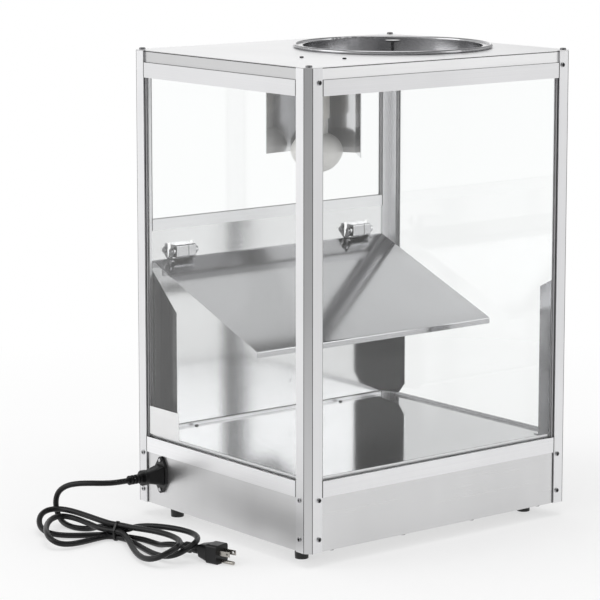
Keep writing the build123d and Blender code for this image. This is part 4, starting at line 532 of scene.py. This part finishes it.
# Mains cord: a round black three-core cable, 7.6 mm thick and 1.67 m long. It leaves the moulded
# connector, drops to the counter, lies in four loops gathered by the tie, and ends in the moulded
# plug, whose blades and earth pin are nickel-plated brass.
CORD_R = 0.0038
CORD_START = (0.2775, -0.129, 0.0632)
PLUG_MOUTH = (0.3069, 0.0318, 0.0125)
PLUG_HEADING = math.radians(105.0)
HANK_MIDDLE = (0.329, -0.082)
HANK_TURN = math.radians(111.5)
HANK_WAIST = 0.010
HANK_LIFT = 0.0012
WAIST_ROOM = 0.008
CLIMB_STEEPNESS = 3.5

# across the waist and up, where each strand passes the tie
STRANDS = {
    "near_upper": (0.0050, 0.0122),
    "near_lower": (0.0041, 0.0038),
    "far_lower": (-0.0041, 0.0038),
    "far_upper": (-0.0050, 0.0122),
    "crown": (0.0, 0.0195),
}

# side, first and last strand, far waist, reach, spread, lean, bow, and climbs as (place, new level)
HANK_LOOPS = (
    (1, "near_upper", "far_lower", 0.010, 0.139, 0.038, -0.22, -0.015, ((0.6, 0.0255), (3.5, 0.0038))),
    (-1, "far_lower", "far_upper", 0.024, 0.0825, -0.088, -0.49, 0.006, ((2.3, 0.0185), (3.95, 0.0122))),
    (1, "far_upper", "crown", 0.010, 0.144, -0.034, -0.52, -0.003,
     ((1.2, 0.0038), (2.8, 0.0260), (5.2, 0.0195))),
    (-1, "crown", "near_lower", 0.010, 0.1065, 0.048, -0.27, 0.0215, ((0.7, 0.0228), (3.5, 0.0038))),
)


def hank_place(along, across, height):
    x = HANK_MIDDLE[0] + along * math.cos(HANK_TURN) - across * math.sin(HANK_TURN)
    y = HANK_MIDDLE[1] + along * math.sin(HANK_TURN) + across * math.cos(HANK_TURN)
    return (x, y, height)


def strand_place(strand, along):
    across, height = STRANDS[strand]
    return hank_place(along, across, HANK_LIFT + height)


def climb(phi, place):
    def rise(angle):
        return 1 / (1 + math.exp(-CLIMB_STEEPNESS * (angle - place)))
    return (rise(phi) - rise(0)) / (rise(2 * math.pi) - rise(0))


def loop_points(loop):
    side, first, last, far_waist, reach, spread, lean, bow, climbs = loop
    start, first_level = STRANDS[first]
    end, _ = STRANDS[last]
    points = [strand_place(first, side * HANK_WAIST)]
    for degrees in range(36, 325, 12):
        phi = math.radians(degrees)
        swell = (1 - math.cos(phi)) / 2
        if phi > math.pi and reach * swell + HANK_WAIST < far_waist + WAIST_ROOM:
            continue
        across = spread * math.sin(phi) * swell + bow * swell ** 2
        drift = start + (end - start) * (phi - math.sin(phi)) / (2 * math.pi)
        out = HANK_WAIST + reach * swell * math.cos(lean) - across * math.sin(lean)
        off = reach * swell * math.sin(lean) + across * math.cos(lean) + drift
        height, level = first_level, first_level
        for place, new_level in climbs:
            height += (new_level - level) * climb(phi, place)
            level = new_level
        points.append(hank_place(side * out, off, HANK_LIFT + height))
    return points + [strand_place(last, side * far_waist)]


def plug_place(along):
    x, y, height = PLUG_MOUTH
    return (x + along * math.cos(PLUG_HEADING), y + along * math.sin(PLUG_HEADING), height)


route = [CORD_START, (0.297, -0.129, 0.0632), (0.312, -0.138, 0.0628), (0.323, -0.155, 0.0615),
         (0.332, -0.1725, 0.059), (0.339, -0.1875, 0.0542), (0.3435, -0.200, 0.0445),
         (0.345, -0.2047, 0.0305), (0.345, -0.201, 0.016), (0.3455, -0.1895, 0.006),
         (0.3465, -0.172, 0.0038), (0.3445, -0.153, 0.0038)]
route += [hank_place(-0.055, 0.0165, 0.0042), hank_place(-0.042, 0.0125, 0.009),
          hank_place(-0.030, 0.005, 0.0134), strand_place("near_upper", -0.018)]
for hank_loop in HANK_LOOPS:
    route += loop_points(hank_loop)
route += [strand_place("near_lower", 0.018), hank_place(0.037, 0.0041, 0.005), (0.3083, -0.031, 0.0038),
          (0.3093, -0.014, 0.0046), (0.3116, 0.0015, 0.009), plug_place(-0.013), plug_place(0.0)]

cord_curve = bpy.data.curves.new("mains_cord", "CURVE")
cord_curve.dimensions = "3D"
cord_curve.resolution_u = 8
cord_curve.bevel_depth = 1.0
cord_curve.bevel_resolution = 5
cord_curve.use_fill_caps = True
spline = cord_curve.splines.new("NURBS")
spline.points.add(len(route) - 1)
for control, place in zip(spline.points, route):
    control.co = (*place, 1.0)
    control.radius = CORD_R
spline.order_u = 3
spline.use_endpoint_u = True
spline.use_smooth = True
mains_cord = add_object("mains_cord", cord_curve)
cord_curve.materials.append(moulded("cord_jacket", colour=(0.007, 0.007, 0.0075), roughness=0.34,
                                    pits=0.12, grain=1400.0, gloss=0.32))
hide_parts("cord_lead", "cord_hank", "cord_tail")
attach(mains_cord, "cabinet")
dress(moulded("moulded_ends", colour=(0.007, 0.007, 0.0075), roughness=0.30, pits=0.10, gloss=0.32),
      "cord_connector", "plug_body")
dress(moulded("tie_strip", colour=(0.006, 0.006, 0.006), roughness=0.30, pits=0.08), "cord_tie")
dress(drawn_metal("plated_brass", colour=(0.42, 0.40, 0.37), roughness=0.26, streak=0.10,
                  grain=(500.0, 500.0, 500.0)),
      "plug_blades", "plug_earth_pin")


# Studio: a white floor that fades into a white surround, and large soft lamps. The surround is
# white to the camera and through glass, and graded round the studio in what metal reflects.
FLOOR_R = 1.4
FADE_START, FADE_END = 0.45, 1.3
FLOOR_GLOW = 0.55
FLOOR_COLOUR = (0.93, 0.93, 0.93, 1)
FILL_LEVEL = 0.70
HORIZON_TONE = (0.85, 0.85, 0.86, 1)
CEILING_START, CEILING_END, CEILING_TONE = 0.20, 0.60, 0.42

# azimuth in turns from -X through -Y, where 0.5 looks along +X and 0.75 along +Y, and the tone there
SURROUND_TONES = (
    (0.06, 0.50), (0.110, 0.50), (0.135, 1.25), (0.25, 0.90), (0.36, 1.05), (0.50, 0.90), (0.575, 0.50),
    (0.615, 0.50), (0.675, 0.15), (0.72, 0.40), (0.80, 0.60), (0.861, 0.74), (0.874, 1.0),
)

floor_mesh = bpy.data.meshes.new("floor")
shape = bmesh.new()
bmesh.ops.create_circle(shape, cap_ends=True, segments=96, radius=FLOOR_R)
shape.to_mesh(floor_mesh)
shape.free()
floor = add_object("floor", floor_mesh)
floor_white = bpy.data.materials.new("floor_white")
floor_white.use_nodes = True
tree = floor_white.node_tree
tree.nodes.clear()
distance = add_node(tree, "VectorMath", {0: add_node(tree, "TexCoord").outputs["Object"]},
                    operation="LENGTH").outputs["Value"]
fade = add_node(tree, "MapRange", {"Value": distance, "From Min": FADE_START, "From Max": FADE_END,
                                   "To Min": FLOOR_GLOW, "To Max": 1.0}).outputs["Result"]
path = add_node(tree, "LightPath")
mirrored = math_node(tree, "MAXIMUM", path.outputs["Is Camera Ray"], path.outputs["Is Glossy Ray"])
seen = math_node(tree, "MAXIMUM", mirrored, path.outputs["Is Transmission Ray"])
matt = add_node(tree, "BsdfDiffuse", {"Color": FLOOR_COLOUR})
glow = add_node(tree, "Emission", {"Strength": 1.0})
blend = add_node(tree, "MixShader", {"Fac": math_node(tree, "MULTIPLY", seen, fade),
                                     1: matt.outputs["BSDF"], 2: glow.outputs["Emission"]})
add_node(tree, "OutputMaterial", {"Surface": blend.outputs["Shader"]})
floor_mesh.materials.append(floor_white)

world = bpy.data.worlds.new("surround")
bpy.context.scene.world = world
world.use_nodes = True
tree = world.node_tree
tree.nodes.clear()
outlook = add_node(tree, "TexCoord").outputs["Generated"]
around = add_node(tree, "TexGradient", {"Vector": outlook}, gradient_type="RADIAL")
tones = add_node(tree, "ValToRGB", {"Fac": around.outputs["Fac"]})
ramp = tones.color_ramp
ramp.interpolation = "EASE"
for end, position in zip(ramp.elements, (0.0, 1.0)):
    end.position = position
    end.color = HORIZON_TONE
for position, tone in SURROUND_TONES:
    stop = ramp.elements.new(position)
    stop.color = (tone, tone, tone, 1)
height = add_node(tree, "SeparateXYZ", {"Vector": outlook}).outputs["Z"]
ceiling = ramp_down(tree, height, CEILING_START, CEILING_END, 1.0, CEILING_TONE)
white = add_node(tree, "Background", {"Color": (1, 1, 1, 1), "Strength": 1.0})
fill = add_node(tree, "Background", {"Color": (1, 1, 1, 1), "Strength": FILL_LEVEL})
graded = add_node(tree, "Background", {"Color": multiply(tree, 1.0, tones.outputs["Color"], ceiling),
                                       "Strength": 1.0})
path = add_node(tree, "LightPath")
lit = add_node(tree, "MixShader", {"Fac": path.outputs["Is Glossy Ray"],
                                   1: fill.outputs["Background"], 2: graded.outputs["Background"]})
seen = math_node(tree, "MAXIMUM", path.outputs["Is Camera Ray"], path.outputs["Is Transmission Ray"])
shown = add_node(tree, "MixShader", {"Fac": seen, 1: lit.outputs["Shader"],
                                     2: white.outputs["Background"]})
add_node(tree, "OutputWorld", {"Surface": shown.outputs["Shader"]})


def soft_lamp(name, place, aim, size, power):
    lamp = add_object(name, bpy.data.lights.new(name, "AREA"))
    lamp.data.shape = "SQUARE"
    lamp.data.size = size
    lamp.data.energy = power
    lamp.location = place
    aim_along(lamp, Vector(aim) - Vector(place))


BODY_MIDDLE = (0, 0, 0.3)
soft_lamp("side_lamp", (3.2, -1.6, 1.9), BODY_MIDDLE, size=2.4, power=30.0)
soft_lamp("top_lamp", (0.3, 0.2, 3.4), BODY_MIDDLE, size=2.6, power=30.0)
soft_lamp("back_lamp", (-2.2, 2.8, 1.8), BODY_MIDDLE, size=2.0, power=14.0)

bpy.context.scene.view_settings.view_transform = "Standard"

bpy.context.view_layer.update()
